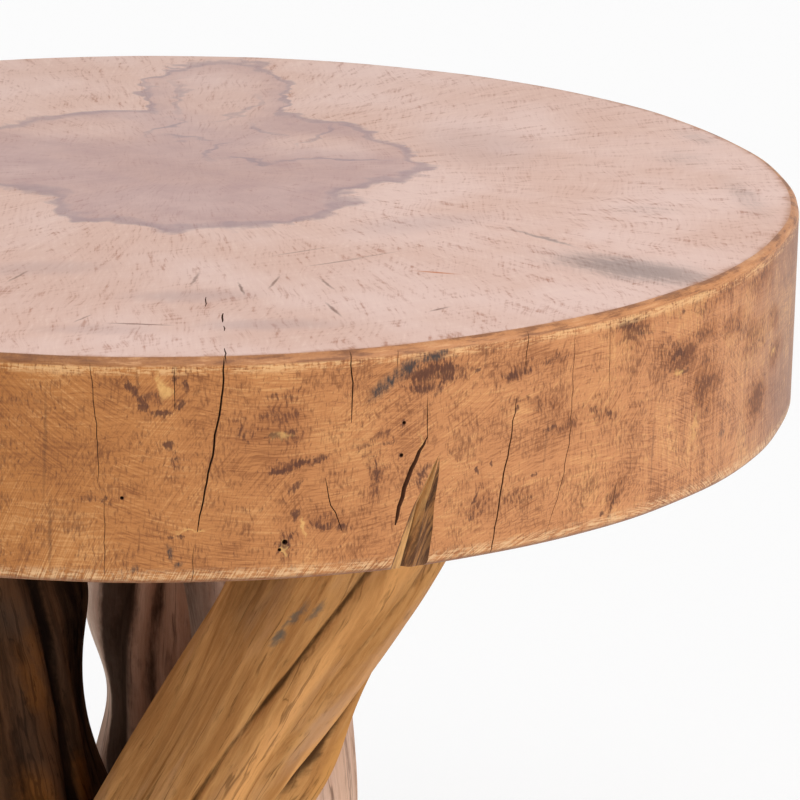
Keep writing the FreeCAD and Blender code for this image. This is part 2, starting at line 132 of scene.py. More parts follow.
class Finish:
    """A material under construction, with one Principled shader."""

    def __init__(self, name, **constants):
        self.material = bpy.data.materials.new(name)
        self.material.use_nodes = True
        self.tree = self.material.node_tree
        self.tree.nodes.clear()
        self.shader = self.tree.nodes.new("ShaderNodeBsdfPrincipled")
        output = self.tree.nodes.new("ShaderNodeOutputMaterial")
        self.tree.links.new(self.shader.outputs[0], output.inputs[0])
        self.set(**constants)

    def feed(self, socket, value):
        if isinstance(value, Field):
            self.tree.links.new(value.socket, socket)
        else:
            socket.default_value = value

    def set(self, **sockets):
        """Feeds the shader: base_color=..., roughness=..., normal=..."""
        for name, value in sockets.items():
            words = name.replace("_", " ").title().replace("Ior", "IOR")
            self.feed(self.shader.inputs[words], value)

    def node(self, kind, settings=None, inputs=(), output=0):
        node = self.tree.nodes.new(kind)
        for name, value in (settings or {}).items():
            setattr(node, name, value)
        pairs = inputs.items() if isinstance(inputs, dict) else enumerate(inputs)
        for socket, value in pairs:
            self.feed(node.inputs[socket], value)
        return Field(self, node.outputs[output])

    def place(self):
        return self.node("ShaderNodeTexCoord", output="Object")

    def attribute(self, name, output="Vector"):
        return self.node("ShaderNodeAttribute", {"attribute_name": name}, output=output)

    def split(self, vector):
        return [self.node("ShaderNodeSeparateXYZ", inputs=(vector,), output=axis) for axis in range(3)]

    def join(self, x, y, z=0.0):
        return self.node("ShaderNodeCombineXYZ", inputs=(x, y, z))

    def vector_math(self, operation, *vectors, output=0):
        return self.node("ShaderNodeVectorMath", {"operation": operation}, vectors, output)

    def length(self, vector):
        return self.vector_math("LENGTH", vector, output="Value")

    def stretch(self, vector, x, y, z=1.0):
        return self.vector_math("MULTIPLY", vector, (x, y, z))

    def noise(self, vector, scale, detail=2.0, roughness=0.5, output="Fac"):
        inputs = {"Vector": vector, "Scale": scale, "Detail": detail, "Roughness": roughness}
        return self.node("ShaderNodeTexNoise", inputs=inputs, output=output)

    def grain(self, vector, x, y, z=1.0, detail=3.0, roughness=0.6):
        """A noise drawn out along an axis, from about -0.5 to 0.5."""
        return self.noise(self.stretch(vector, x, y, z), 1.0, detail, roughness) - 0.5

    def sway(self, vector, scale, amount):
        """The same places, pushed about in x and y by a noise, so that drawn edges turn ragged."""
        push = self.vector_math("SUBTRACT", self.noise(vector, scale, 3.0, 0.6, "Color"), HALF)
        return self.vector_math("ADD", vector, self.stretch(push, amount, amount, 0))

    def smooth(self, value, low, high):
        """Runs from 0 at low to 1 at high, eased."""
        settings = {"interpolation_type": "SMOOTHSTEP"}
        return self.node("ShaderNodeMapRange", settings, {"Value": value, 1: low, 2: high})

    def mix(self, factor, first, second):
        return self.node("ShaderNodeMix", {"data_type": "RGBA"}, {0: factor, 6: first, 7: second}, 2)

    def layer(self, base, *layers):
        """Lays colours over a base one after another, each as far as its mask lets it."""
        for mask, colour in layers:
            base = self.mix(mask, base, colour)
        return base

    def from_ellipse(self, sheet, along, up, half_along, half_up, turn):
        """Places as an ellipse sees them: 0 at its centre, 1 away on its outline."""
        inputs = {"Vector": sheet, "Location": (along, up, 0), "Rotation": (0, 0, math.radians(turn)),
                  "Scale": (half_along, half_up, 1)}
        return self.node("ShaderNodeMapping", {"vector_type": "TEXTURE"}, inputs)

    def spot(self, sheet, spot):
        """A soft ellipse on a flat sheet of places: centre, half sizes, turn in degrees, strength."""
        along, up, half_along, half_up, turn, strength = spot
        near = self.from_ellipse(sheet, along, up, SPOT_REACH * half_along, SPOT_REACH * half_up, turn)
        near = self.node("ShaderNodeTexGradient", {"gradient_type": "SPHERICAL"}, (near,), "Fac")
        return self.smooth(near, 0.0, SPOT_CORE) * strength

    def spots(self, sheet, spots):
        """The strongest of many spots at each place."""
        most = self.spot(sheet, spots[0])
        for spot in spots[1:]:
            most = most.math("MAXIMUM", most, self.spot(sheet, spot))
        return most

    def bump(self, height, depth):
        return self.node("ShaderNodeBump", inputs={"Strength": 1.0, "Distance": depth, "Height": height},
                         output="Normal")


def srgb(red, green, blue):
    """A colour as read off a screen, 0 to 255, in the linear values that a shader takes."""
    linear = [(part / 255 / 12.92) if part < 11 else ((part / 255 + 0.055) / 1.055) ** 2.4
              for part in (red, green, blue)]
    return (*linear, 1.0)


print("finishes feed one Principled shader each")

# %% [markdown]
# ## Workshop helpers
# Three habits used all through: nothing is selected before a new piece is added, modifiers are applied as
# soon as they are set, and edges are chosen by a plain rule about where they lie.


# %% Workshop helpers
def deselect():
    bpy.ops.object.select_all(action="DESELECT")


def take(piece):
    """Selects one piece alone and makes it the active one."""
    deselect()
    piece.select_set(True)
    bpy.context.view_layer.objects.active = piece


def pick_edges(piece, rule):
    """Leaves the piece in edit mode with the edges selected whose two ends obey the rule."""
    bpy.context.view_layer.objects.active = piece
    bpy.ops.object.mode_set(mode="EDIT")
    bpy.ops.mesh.select_mode(type="EDGE")
    bpy.ops.mesh.select_all(action="DESELECT")
    bpy.ops.object.mode_set(mode="OBJECT")
    places = piece.data.vertices
    for edge in piece.data.edges:
        first, second = (places[end].co for end in edge.vertices)
        edge.select = rule(first, second)
    bpy.ops.object.mode_set(mode="EDIT")


def places_of(piece):
    """The vertices as an array, one row each."""
    flat = np.empty(len(piece.data.vertices) * 3)
    piece.data.vertices.foreach_get("co", flat)
    return flat.reshape(-1, 3)


def move_to(piece, places):
    piece.data.vertices.foreach_set("co", places.astype(np.float32).ravel())
    piece.data.update()


def smooth_shading(piece, degrees):
    take(piece)
    bpy.ops.object.shade_smooth_by_angle(angle=math.radians(degrees))


def face_outwards(piece):
    """Turns every face of a closed shape outwards."""
    take(piece)
    bpy.ops.object.mode_set(mode="EDIT")
    bpy.ops.mesh.select_all(action="SELECT")
    bpy.ops.mesh.normals_make_consistent(inside=False)
    bpy.ops.object.mode_set(mode="OBJECT")


def combine(piece, tool, **settings):
    """Applies a boolean with the tool to the piece, and puts the tool away."""
    take(piece)
    step = piece.modifiers.new("combine", "BOOLEAN")
    step.object = tool
    for name, value in settings.items():
        setattr(step, name, value)
    bpy.ops.object.modifier_apply(modifier=step.name)
    bpy.data.objects.remove(tool)


print("helpers ready")

# %% [markdown]
# ## The slab
# A slice of log is a drum: a cylinder whose rim was sanded by hand. It starts as a cylinder at full size.
# Both its edges get their bevels, its upright edges are cut into short lengths, and the rim is then pulled
# in and out by about a millimetre, because a hand-sanded rim is never a true circle.

# %% The slab's drum
RIM_SIDES = 360
RIM_CUTS = 17
TOP_BEVEL = 3 * MM
BOTTOM_BEVEL = 2.5 * MM
SAME_LEVEL = 0.1 * MM

deselect()
bpy.ops.mesh.primitive_cylinder_add(vertices=RIM_SIDES, radius=RADIUS, depth=THICKNESS,
                                    location=(0, 0, UNDERSIDE + THICKNESS / 2))
slab = bpy.context.object
slab.name = "slab"
bpy.ops.object.transform_apply(location=True, rotation=True, scale=True)

for height, bevel in ((TOP, TOP_BEVEL), (UNDERSIDE, BOTTOM_BEVEL)):
    pick_edges(slab, lambda first, second: abs(first.z - height) + abs(second.z - height) < SAME_LEVEL)
    bpy.ops.mesh.bevel(offset=bevel, segments=3, profile=0.5)
    bpy.ops.object.mode_set(mode="OBJECT")

pick_edges(slab, lambda first, second: abs(first.z - second.z) > THICKNESS / 2)
bpy.ops.mesh.subdivide(number_cuts=RIM_CUTS)
bpy.ops.object.mode_set(mode="OBJECT")
print("drum faces:", len(slab.data.polygons))

# %% Sand the rim by hand
# Each wave: how many around the rim, how many millimetres high, where it starts.
RIM_WAVES = ((2, 0.5, 0.4), (5, 0.35, 2.1), (9, 0.25, 0.9), (17, 0.18, 4.0), (31, 0.1, 1.7))
# They turn a little on the way up. The rim also leans in and out, and is set in to keep near the CAD slab's.
RIM_TWIST = 0.8
RIM_TILT = 0.5 * MM
RIM_TILTS = 3
RIM_INSET = 0.6 * MM

places = places_of(slab)
angle = np.arctan2(places[:, 1], places[:, 0])
share_up = (places[:, 2] - UNDERSIDE) / THICKNESS
swell = sum(size * MM * np.sin(count * angle + start + RIM_TWIST * share_up)
            for count, size, start in RIM_WAVES)
swell = swell + RIM_TILT * (share_up - 0.5) * np.sin(RIM_TILTS * angle)
reach = np.hypot(places[:, 0], places[:, 1])
places[:, :2] *= ((reach + swell - RIM_INSET) / reach)[:, None]
move_to(slab, places)
print(f"rim sanded between {swell.min() / MM:.2f} and {swell.max() / MM:.2f} mm")

# %% [markdown]
# ## The rim's finish
# Sanded side grain: honey coloured to the left, pinker to the right, and painted lighter towards the right
# where the light falls, with painted shade at the far right. Fine grain lies level, the sander left curved
# scratches, and sapwood shows as a pale line under the bevel and along the lower edge. The top bevel is
# painted darker on the left as shade, with painted highlights on its right part, and the lower bevel is
# painted dark as shade. Dark stains, knots and lines are each placed where they sit on the object, with
# ragged edges and a fibrous speckle. The sheet that they are drawn on is folded to and fro, so that the
# rim's unseen side has marks too.

# %% The rim's marks
# Each mark: along the arc, up, half width, half height, turn, strength.
RIM_STAINS = [
    (-20, 28.5, 9, 2.4, 4, 0.6), (-30, 36, 8, 3, 8, 0.3), (7, 40, 4, 8, -15, 0.5), (-3, 59, 9, 5, -30, 0.6),
    (26, 50, 4, 8, 10, 0.6), (38, 57, 13, 8, 8, 0.7), (38, 48, 9, 4, 0, 0.8), (43, 37.5, 14, 4, 8, 0.8),
    (54, 17, 9, 4, -14, 0.8), (40, 12, 5, 4.4, 0, 0.7), (68.5, 33, 5, 10, 10, 0.8),
    (70, 43.5, 13, 3, 4, 0.8), (88, 63, 16, 9, 10, 1.0), (99, 62, 9, 5, 14, 0.6),
    (104, 20, 4, 11, -12, 0.6), (120, 60, 9, 6, 10, 0.9), (133, 61, 12, 4, 12, 0.7),
    (126, 48.5, 15, 3, 0, 0.7), (121, 18.5, 14, 3, 6, 0.6), (138, 40, 12, 4, 12, 0.7),
    (155, 41, 10, 5, -8, 0.7), (168, 66, 12, 7, 0, 1.0), (161, 10, 5, 9, -24, 0.8),
    (194, 51, 14, 9, 4, 1.0), (184, 56, 9, 6, 0, 0.75), (210, 56, 13, 6, 6, 0.8), (209, 38, 10, 14, 8, 0.9),
    (230, 54, 14, 6, 4, 0.7), (248, 47, 16, 9, 4, 0.85), (251, 23, 12, 12, 6, 1.0),
    (274, 34, 14, 8, 4, 0.8), (270, 46, 11, 6, 0, 0.7), (212, 68, 42, 6, 0, 0.6), (250, 66, 24, 7, 0, 0.6),
    (-44, 52, 9, 14, 0, 0.45),
]
RIM_KNOTS = [
    (-8.5, 64, 4.2, 1.6, -50, 0.9), (-4.5, 58.8, 4.2, 2.4, -45, 1.0), (1, 55.8, 4.6, 1.6, -5, 1.0),
    (6.5, 58, 3, 1.7, 42, 0.9), (8, 64, 1.2, 5, 0, 0.7), (5.3, 68, 1.0, 5, 0, 0.8),
    (3, 45.3, 3.8, 1.8, -8, 1.0), (5.5, 42, 1.4, 2.6, 30, 0.7), (-22, 28.5, 4.5, 1.3, 4, 0.7),
    (-16.5, 28, 2, 1.6, 0, 0.8), (6, 16, 6, 0.9, 6, 0.7), (36, 47.6, 5, 1.4, 0, 0.9),
    (42, 48.6, 3, 1.7, 20, 0.8), (35, 60, 3.5, 2, 10, 0.6), (25.5, 48, 1.6, 6, 8, 0.6),
    (37, 36, 5, 1.8, 4, 1.0), (44, 38, 5, 1.8, 14, 1.0), (50.5, 39.5, 4, 1.8, 8, 0.9),
    (42.5, 30, 3.8, 1.6, 48, 0.9), (42.8, 21.5, 1.4, 3.2, -15, 0.9), (41, 14.5, 1.5, 4, -30, 0.8),
    (52, 17.5, 4.4, 1.7, -12, 0.9), (57.5, 16.5, 3.2, 2, -30, 1.0), (38.5, 12, 3.2, 2.8, 0, 1.0),
    (69, 33, 1.5, 6, 8, 0.7), (72, 43, 4.5, 1.1, 4, 0.7), (78, 48.7, 1.5, 2.1, 0, 0.9),
    (77, 38, 1.8, 2.1, 0, 0.9), (80, 66.5, 5, 3, 30, 0.9), (86, 64, 7.5, 5, 10, 1.0),
    (84, 58.5, 6, 2.4, -10, 0.9), (92.5, 63, 5, 5, 10, 1.0), (90, 57.5, 4, 1.8, 30, 0.8),
    (104.3, 62.8, 1.5, 1.4, 0, 0.9), (117, 58.6, 4.2, 2, 8, 0.9), (123, 59.5, 2.8, 2.2, 0, 0.9),
    (131, 61, 5, 1.3, 12, 0.7), (119.5, 47.5, 1.9, 1.3, 10, 0.9), (104.3, 29.3, 1.1, 1.6, 0, 1.0),
    (110, 30.8, 1.5, 1.6, 0, 1.0), (103.5, 20, 0.9, 5, -18, 0.8), (102.5, 14, 1.7, 2, -20, 0.9),
    (126, 24.8, 1.7, 1.1, 0, 0.9), (133, 38.5, 4, 1.3, 8, 0.7), (150.5, 42.5, 2, 1.7, -10, 0.8),
    (158.5, 39.4, 2.6, 1.3, 8, 0.9), (156, 5, 1.8, 1.8, 0, 1.0), (160.5, 8, 1.0, 5, -18, 0.9),
    (166, 68, 6, 2.6, 0, 0.8), (172, 65, 4, 3, 0, 0.7), (193, 52, 6, 2.4, 0, 0.9),
    (197, 46, 4, 1.6, 0, 0.8), (195, 66, 1.9, 1.4, 0, 0.9), (85, 31, 2.6, 6, -20, 0.7),
]
RIM_LINES = [
    (-35.3, 45, 0.7, 26, -2, 0.7), (-34, 15, 0.8, 16, -1, 0.85), (-6.5, 66, 0.6, 6, 0, 0.7),
    (107, 67, 0.6, 6, 0, 0.7), (131, 35, 0.6, 11, -6, 0.6), (210, 11, 0.6, 9, -2, 0.5),
    (180, 22, 0.6, 18, -2, 0.7), (222, 20, 0.7, 14, -3, 0.5), (240, 40, 0.6, 20, -2, 0.5),
    (265, 60, 0.6, 10, 0, 0.5), (198, 28, 0.6, 16, -2, 0.5),
]
RIM_PALE = [
    (37, 49, 5, 2.2, 6, 0.8), (45, 17, 1.2, 5, 26, 0.9), (193, 45, 3, 2.2, 0, 0.9),
    (39.5, 11.5, 1.3, 1.2, 0, 0.9), (9, 17.5, 6, 1.1, 4, 0.7), (272, 36, 3, 1.8, 0, 0.9),
    (205, 24, 1.4, 8, -6, 0.6), (1, 63, 2.6, 6, -6, 1.0), (83.6, 41, 1.3, 4.5, -10, 0.6),
]
RIM_GREY = [
    (3.5, 10.5, 1.3, 3.0, 12, 0.9), (-7.5, 5.5, 1.5, 1.6, 0, 0.7), (6, 6.5, 2.2, 1.4, 30, 0.8),
    (222, 18, 3, 2, 0, 0.5), (71.5, 61.5, 8, 2.8, 41, 1.0), (79, 66.3, 8, 3.4, 28, 1.0),
    (88, 69, 8, 2.2, 6, 1.0),
]
MARKS_FROM = -58
HALF_ROUND = math.pi * RADIUS / MM
QUARTER_ROUND = HALF_ROUND / 2
ARC_PIECES = 9.0


def rim_sheet(finish):
    """Places on the rim in millimetres: along, up, and a sheet of both, folded to meet at the back."""
    x, y, z = finish.split(finish.place())
    along = x.math("ARCTAN2", x, 0 - y) * (RADIUS / MM)
    up = (z - UNDERSIDE) / MM
    folded = along.math("PINGPONG", along + QUARTER_ROUND, HALF_ROUND) - QUARTER_ROUND
    return along, up, finish.join(folded, up)


def fold_marks(finish, sheet):
    """The sheet folded to and fro every quarter turn, so that the marks come back all around the rim."""
    along, up, _ = finish.split(sheet)
    return finish.join(along.math("PINGPONG", along - MARKS_FROM, QUARTER_ROUND) + MARKS_FROM, up)


def sander_arcs(finish, sheet, centre_along, centre_up, pitch):
    """Scratches on arcs about a centre: a noise that varies fast outwards and slowly along the arc."""
    spot = finish.vector_math("SUBTRACT", sheet, (centre_along, centre_up, 0))
    x, _, _ = finish.split(spot)
    far = finish.length(spot)
    return finish.noise(finish.join(far / pitch, x / far * ARC_PIECES), 1.0, 2.0, 0.6) - 0.5


print("marks on the rim:", sum(map(len, (RIM_STAINS, RIM_KNOTS, RIM_LINES, RIM_PALE, RIM_GREY))))

# %% The rim's grain
RIM_COLOURS = {
    "left": srgb(176, 112, 52), "right": srgb(196, 132, 84), "far_right_shade": srgb(146, 98, 68),
    "dark_grain": srgb(130, 74, 34), "light_grain": srgb(222, 164, 104), "tick": srgb(118, 67, 32),
    "halo": srgb(142, 82, 44), "stain": srgb(98, 55, 32), "knot": srgb(84, 45, 27),
    "pale": srgb(228, 178, 108), "grey": srgb(62, 49, 44), "line": srgb(84, 48, 26),
    "bevel_shade_left": srgb(140, 90, 52), "bevel_lit_right": srgb(190, 130, 84), "bevel_dark_line": srgb(104, 60, 36),
    "bevel_highlight": srgb(218, 164, 116), "sapwood": srgb(228, 180, 126), "sanded": srgb(232, 190, 142),
    "foot": srgb(122, 72, 40),
}

rim = Finish("slab_rim_wood", coat_weight=0.06, coat_roughness=0.35, specular_ior_level=0.3)
along, up, sheet = rim_sheet(rim)
side = along.math("SINE", along / (RADIUS / MM))
wavy = rim.sway(sheet, 0.05, 6.0)
ticks = rim.grain(wavy, 1.3, 0.36)
lines = rim.grain(wavy, 0.06, 1.2, roughness=0.65)
clusters = rim.noise(wavy, 0.085, 3.0, 0.6) - 0.5
broad = rim.noise(sheet, 0.035, 3.0) - 0.5
patches = rim.grain(wavy, 0.1, 0.2, detail=4.0, roughness=0.65)
sanded = rim.smooth(rim.noise(sheet, 0.028, 2.0), 0.4, 0.6)
arcs = sander_arcs(rim, sheet, centre_along=150, centre_up=-70, pitch=0.55)
crossing = sander_arcs(rim, sheet, centre_along=40, centre_up=150, pitch=0.6)
upright = rim.grain(wavy, 0.7, 0.02) * rim.smooth(side, 0.38, 0.8)
scratches = sanded * arcs + (1 - sanded) * crossing
tone = 0.65 * lines + 0.9 * scratches + 0.9 * broad + 0.9 * upright

# The rim runs from honey on the left to pinker on the right, and is painted lighter to the right, where the
# light falls; at the far right it is painted darker as shade.
wood = rim.layer(
    rim.mix(rim.smooth(side, -0.46, 0.76), RIM_COLOURS["left"], RIM_COLOURS["right"]),
    (rim.smooth(side, 0.82, 1.0), RIM_COLOURS["far_right_shade"]),
    (rim.smooth(tone, 0.0, -0.28) * 0.75, RIM_COLOURS["dark_grain"]),
    (rim.smooth(tone, 0.0, 0.3) * 0.65, RIM_COLOURS["light_grain"]),
    (rim.smooth(ticks + 0.7 * clusters, -0.05, 0.24) * 0.7, RIM_COLOURS["tick"]),
)
print("nodes for the rim's grain:", len(rim.tree.nodes))

# %% The rim's stains
ragged = fold_marks(rim, rim.sway(rim.sway(sheet, 0.07, 16.0), 0.3, 6.0))
frayed = fold_marks(rim, rim.sway(rim.sway(sheet, 0.12, 5.0), 0.5, 2.6))
stain = rim.spots(ragged, RIM_STAINS)
fibrous = 0.85 * stain + 2.2 * ticks + 0.8 * lines + 1.6 * patches
knots = rim.spots(frayed, RIM_KNOTS) + 2.1 * ticks + 0.8 * clusters
pale = rim.spots(ragged, RIM_PALE)
grey = rim.spots(fold_marks(rim, rim.sway(sheet, 0.4, 3.0)), RIM_GREY)
drawn = rim.spots(fold_marks(rim, rim.sway(sheet, 0.25, 1.6)), RIM_LINES)
wood = rim.layer(
    wood,
    (stain * (0.4 + patches), RIM_COLOURS["halo"]),
    (rim.smooth(fibrous, 0.34, 0.95) * 0.75, RIM_COLOURS["stain"]),
    (rim.smooth(knots, 0.22, 0.95) * 0.85, RIM_COLOURS["knot"]),
    (pale * (0.65 + 1.5 * ticks), RIM_COLOURS["pale"]),
    (grey * (0.8 + 2.6 * ticks + clusters), RIM_COLOURS["grey"]),
    (drawn * 0.55, RIM_COLOURS["line"]),
)
print("nodes with its marks:", len(rim.tree.nodes))

# %% The rim's edges
# Each band's edge: the height in millimetres where it starts to show, and where it shows in full.
SAPWOOD_FOOT = (67.2, 69.2)
SAPWOOD_HEAD = (71.2, 70.4)
BEVEL_FOOT = (70.8, 71.6)
SANDED_HEAD = (6.0, 3.0)
# The lower bevel faces down; it is painted dark as shade up to these heights.
LOWER_BEVEL_SHADE = (2.2, 0.8)

streak = rim.noise(rim.stretch(sheet, 0.22, 1.4), 1.0, 3.0, 0.65)
bands = rim.noise(rim.stretch(sheet, 0.06, 0.5), 1.0, 4.0, 0.65)
sapwood = rim.smooth(up, *SAPWOOD_FOOT) * rim.smooth(up, *SAPWOOD_HEAD) * (1 - grey)
sapwood = sapwood * rim.smooth(streak + broad * 0.6 - 0.5 * ticks, 0.38, 0.66)
# The top bevel's band: painted darker on the left as shade, lighter to the right where the light falls, with
# pale streaks as painted highlights, and thin dark lines.
edge_band = rim.layer(
    rim.mix(rim.smooth(side, -0.34, 0.5), RIM_COLOURS["bevel_shade_left"], RIM_COLOURS["bevel_lit_right"]),
    (rim.smooth(bands, 0.47, 0.62) * 0.75, RIM_COLOURS["bevel_dark_line"]),
    (rim.smooth(bands, 0.46, 0.34) * 0.6, RIM_COLOURS["bevel_highlight"]),
)
wood = rim.layer(
    wood,
    (sapwood * 0.75, RIM_COLOURS["sapwood"]),
    (rim.smooth(up + streak * 1.2, *BEVEL_FOOT) * 0.85, edge_band),
    (rim.smooth(up, *SANDED_HEAD) * rim.smooth(streak + arcs, 0.36, 0.7) * 0.75, RIM_COLOURS["sanded"]),
    # Painted shade on the lower bevel, which faces down.
    (rim.smooth(up, *LOWER_BEVEL_SHADE) * 0.75, RIM_COLOURS["foot"]),
)
relief = arcs * 0.5 + lines * 0.6 + ticks * 0.5
rim.set(base_color=wood, roughness=0.45 + 0.2 * stain, normal=rim.bump(relief, 0.3 * MM))
print("rim finish nodes:", len(rim.tree.nodes))

# %% [markdown]
# ## The top's finish
# End grain under wax. The heartwood spread as an irregular mauve patch with a blue-grey outline and veins,
# the sapwood around it is a pale pinkish beige with fine streaks running out from the pith. The wax is dull
# on the shader, a thin rough coat, and its whitish sheen is painted into the colours, so that every colour
# of the top is paler than the bare wood.

# %% The top's marks
# Places are millimetres from the slab's middle, to the right and to the back; a lobe has no strength.
PITH = (12, 25)
LOBE_BLEND = 0.08
HEART_LOBES = [(17, -4, 60, 63, 0), (46, 48, 50, 74, 8), (-18, 52, 58, 68, -10), (24, 150, 30, 72, -4)]
HEART_VEINS = [
    (3, 92, 2.4, 16, -14, 1.0), (12, 75, 10, 2.4, -30, 1.0), (22, 52, 2.4, 18, -8, 1.0),
    (35, 36, 13, 2.4, -16, 1.0), (64, 36, 22, 2.4, 10, 1.0), (30, 125, 2.6, 30, -26, 0.8),
    (38, 88, 2.4, 15, 12, 0.8), (57, 78, 2.4, 30, -28, 0.9), (9, 142, 2.4, 36, -2, 0.7),
]
HEART_PALE = [(60, 62, 38, 26, 6, 0.75), (-30, 88, 42, 26, -8, 0.7), (24, 150, 32, 80, 0, 0.75)]
TOP_STAINS = [
    (158, -122, 46, 20, -37, 1.0), (132, -80, 24, 1.8, -52, 0.9), (210, -20, 8, 44, 4, 0.5),
    (205, 75, 8, 20, 16, 0.5), (172, -40, 16, 10, 0, 0.4), (195, 40, 14, 18, 10, 0.4),
]
TOP_HAZE = [
    (10, -155, 26, 10, 4, 0.6), (35, -190, 28, 9, 2, 0.55), (-40, -120, 30, 12, 8, 0.45),
    (90, -60, 34, 14, 24, 0.4), (120, 60, 30, 46, 10, 0.4), (-20, -195, 24, 8, 0, 0.4),
]
TOP_DASHES = [
    (27, -146, 0.7, 9, 6, 0.9), (38, -138, 0.7, 10, -14, 0.8), (-6, -189, 12, 0.9, -8, 0.9),
    (-46, -130, 0.7, 9, -24, 0.7), (56, -172, 0.8, 10, 14, 0.8), (60, -112, 14, 0.7, 28, 0.6),
    (12, -134, 0.8, 10, -10, 0.7), (55, -140, 0.7, 9, 16, 0.7), (90, -172, 5, 0.9, 40, 0.8),
    (-24, -182, 0.6, 6, -30, 0.6), (70, -105, 16, 0.6, 32, 0.5), (48, -98, 13, 0.7, 30, 0.5),
]
TOP_SCRATCH = (92, -126, 9, 1.1, -18, 1.0)


def from_heart_edge(finish, sheet):
    """About 0 inside the heartwood's lobes, 1 on their joint outline and more outside."""
    nearest = None
    for lobe in HEART_LOBES:
        reach = finish.length(finish.from_ellipse(sheet, *lobe))
        nearest = reach if nearest is None else reach.math("SMOOTH_MIN", nearest, reach, LOBE_BLEND)
    return nearest


print("marks on the top:", sum(map(len, (HEART_VEINS, HEART_PALE, TOP_STAINS, TOP_HAZE, TOP_DASHES))))

# %% The top's grain
# All the top's colours are paler than the bare wood: the wax's whitish sheen is painted into them.
TOP_COLOURS = {
    "dark_cloud_and_sheen": srgb(216, 180, 165), "light_cloud_and_sheen": srgb(225, 194, 183), "dark_grain": srgb(160, 104, 80),
    "light_grain": srgb(238, 210, 196), "heart": srgb(177, 145, 143), "vein": srgb(134, 122, 132),
    "haze": srgb(170, 148, 148), "stain": srgb(122, 112, 110), "dash": srgb(88, 52, 34),
    "scratch": srgb(188, 104, 44), "edge_band": srgb(164, 108, 72),
}
SCUFF_TURN = math.radians(62)

top = Finish("slab_top_wood", coat_weight=0.04, coat_roughness=0.45, specular_ior_level=0.15)
in_mm = top.node("ShaderNodeVectorMath", {"operation": "SCALE"}, {0: top.place(), "Scale": 1 / MM})
x, y, _ = top.split(in_mm)
flat = top.join(x, y)
from_pith = top.vector_math("SUBTRACT", flat, (*PITH, 0))
pith_far = top.length(from_pith)
pith_x, pith_y, _ = top.split(top.vector_math("NORMALIZE", from_pith))
rays = top.noise(top.join(pith_x * 30.0, pith_y * 30.0, pith_far * 0.045), 1.0, 4.0, 0.65) - 0.5
hairs = top.noise(top.join(pith_x * 95.0, pith_y * 95.0, pith_far * 0.06), 1.0, 3.0, 0.6) - 0.5
sanding = top.grain(top.sway(flat, 0.01, 30.0), 0.9, 0.05)
clouds = top.noise(flat, 0.016, 3.0) - 0.5
patchy = top.noise(flat, 0.05, 4.0, 0.6)
turned = {"Vector": flat, "Angle": SCUFF_TURN}
crosswise = top.node("ShaderNodeVectorRotate", {"rotation_type": "Z_AXIS"}, turned)
scuffs = top.grain(top.sway(crosswise, 0.02, 14.0), 0.5, 0.03)

tone = 0.8 * rays + 0.7 * hairs + 0.9 * sanding + 0.6 * scuffs
wood = top.layer(
    top.mix(top.smooth(clouds, -0.15, 0.18), TOP_COLOURS["dark_cloud_and_sheen"], TOP_COLOURS["light_cloud_and_sheen"]),
    (top.smooth(tone, 0.02, 0.42) * 0.7, TOP_COLOURS["dark_grain"]),
    (top.smooth(tone, -0.02, -0.4) * 0.35, TOP_COLOURS["light_grain"]),
)
print("nodes for the top's grain:", len(top.tree.nodes))

# %% The top's heartwood and stains
# The top turns honey-brown over its outer few millimetres, next to the bevel, between these two distances
# from its middle.
OUTER_BAND_FROM = RADIUS / MM - 6.0
OUTER_BAND_TO = RADIUS / MM - 2.2

wobbly = top.sway(top.sway(flat, 0.022, 52.0), 0.12, 10.0)
edge = from_heart_edge(top, wobbly)
heart = top.smooth(edge, 1.03, 0.96)
outline = top.smooth(edge, 1.05, 0.99) * top.smooth(edge, 0.86, 0.95)
veins = outline.math("MAXIMUM", outline * 0.6, top.spots(wobbly, HEART_VEINS) * 0.8)
pale_heart = top.spots(wobbly, HEART_PALE)
ragged = top.sway(flat, 0.12, 6.0)
stains = top.spots(ragged, TOP_STAINS)
streaky = top.smooth(stains + 1.2 * (patchy - 0.5) + 1.4 * hairs + 0.9 * sanding, 0.15, 0.95)
dashes = top.spots(top.sway(flat, 0.3, 1.5), TOP_DASHES)
outer_band = top.smooth(top.length(flat) + rays * 8.0, OUTER_BAND_FROM, OUTER_BAND_TO)
wood = top.layer(
    wood,
    (heart * (0.2 + 0.85 * patchy) * (1 - pale_heart), TOP_COLOURS["heart"]),
    (veins * (0.25 + 0.7 * patchy), TOP_COLOURS["vein"]),
    (top.spots(ragged, TOP_HAZE) * 0.6, TOP_COLOURS["haze"]),
    (stains * (0.2 + 0.45 * streaky), TOP_COLOURS["stain"]),
    (dashes * 0.8, TOP_COLOURS["dash"]),
    (top.spot(flat, TOP_SCRATCH) * 0.8, TOP_COLOURS["scratch"]),
    (outer_band * 0.6, TOP_COLOURS["edge_band"]),
)
top.set(base_color=wood, roughness=0.5 + 0.14 * patchy, normal=top.bump(rays + sanding * 0.5, 0.12 * MM))
print("top finish nodes:", len(top.tree.nodes))

# %% [markdown]
# ## Checks, worm holes and the weathered hollow
# As a slab dries, it splits along the grain: dark upright checks, wide at the rim and closing inwards. Each
# is cut by a thin wedge: a triangle extruded from point to point down the rim. Worm holes are small drilled
# cylinders. All these tools are joined and taken out of the drum in one boolean.

# %% Dark inside of the cuts
check_dark = Finish("slab_check_shadow", roughness=0.9)
depths = check_dark.noise(check_dark.place(), 900.0, 2.0)
check_dark.set(base_color=check_dark.mix(depths, srgb(66, 36, 20), srgb(120, 72, 40)))
print("finish of the cuts:", check_dark.material.name)

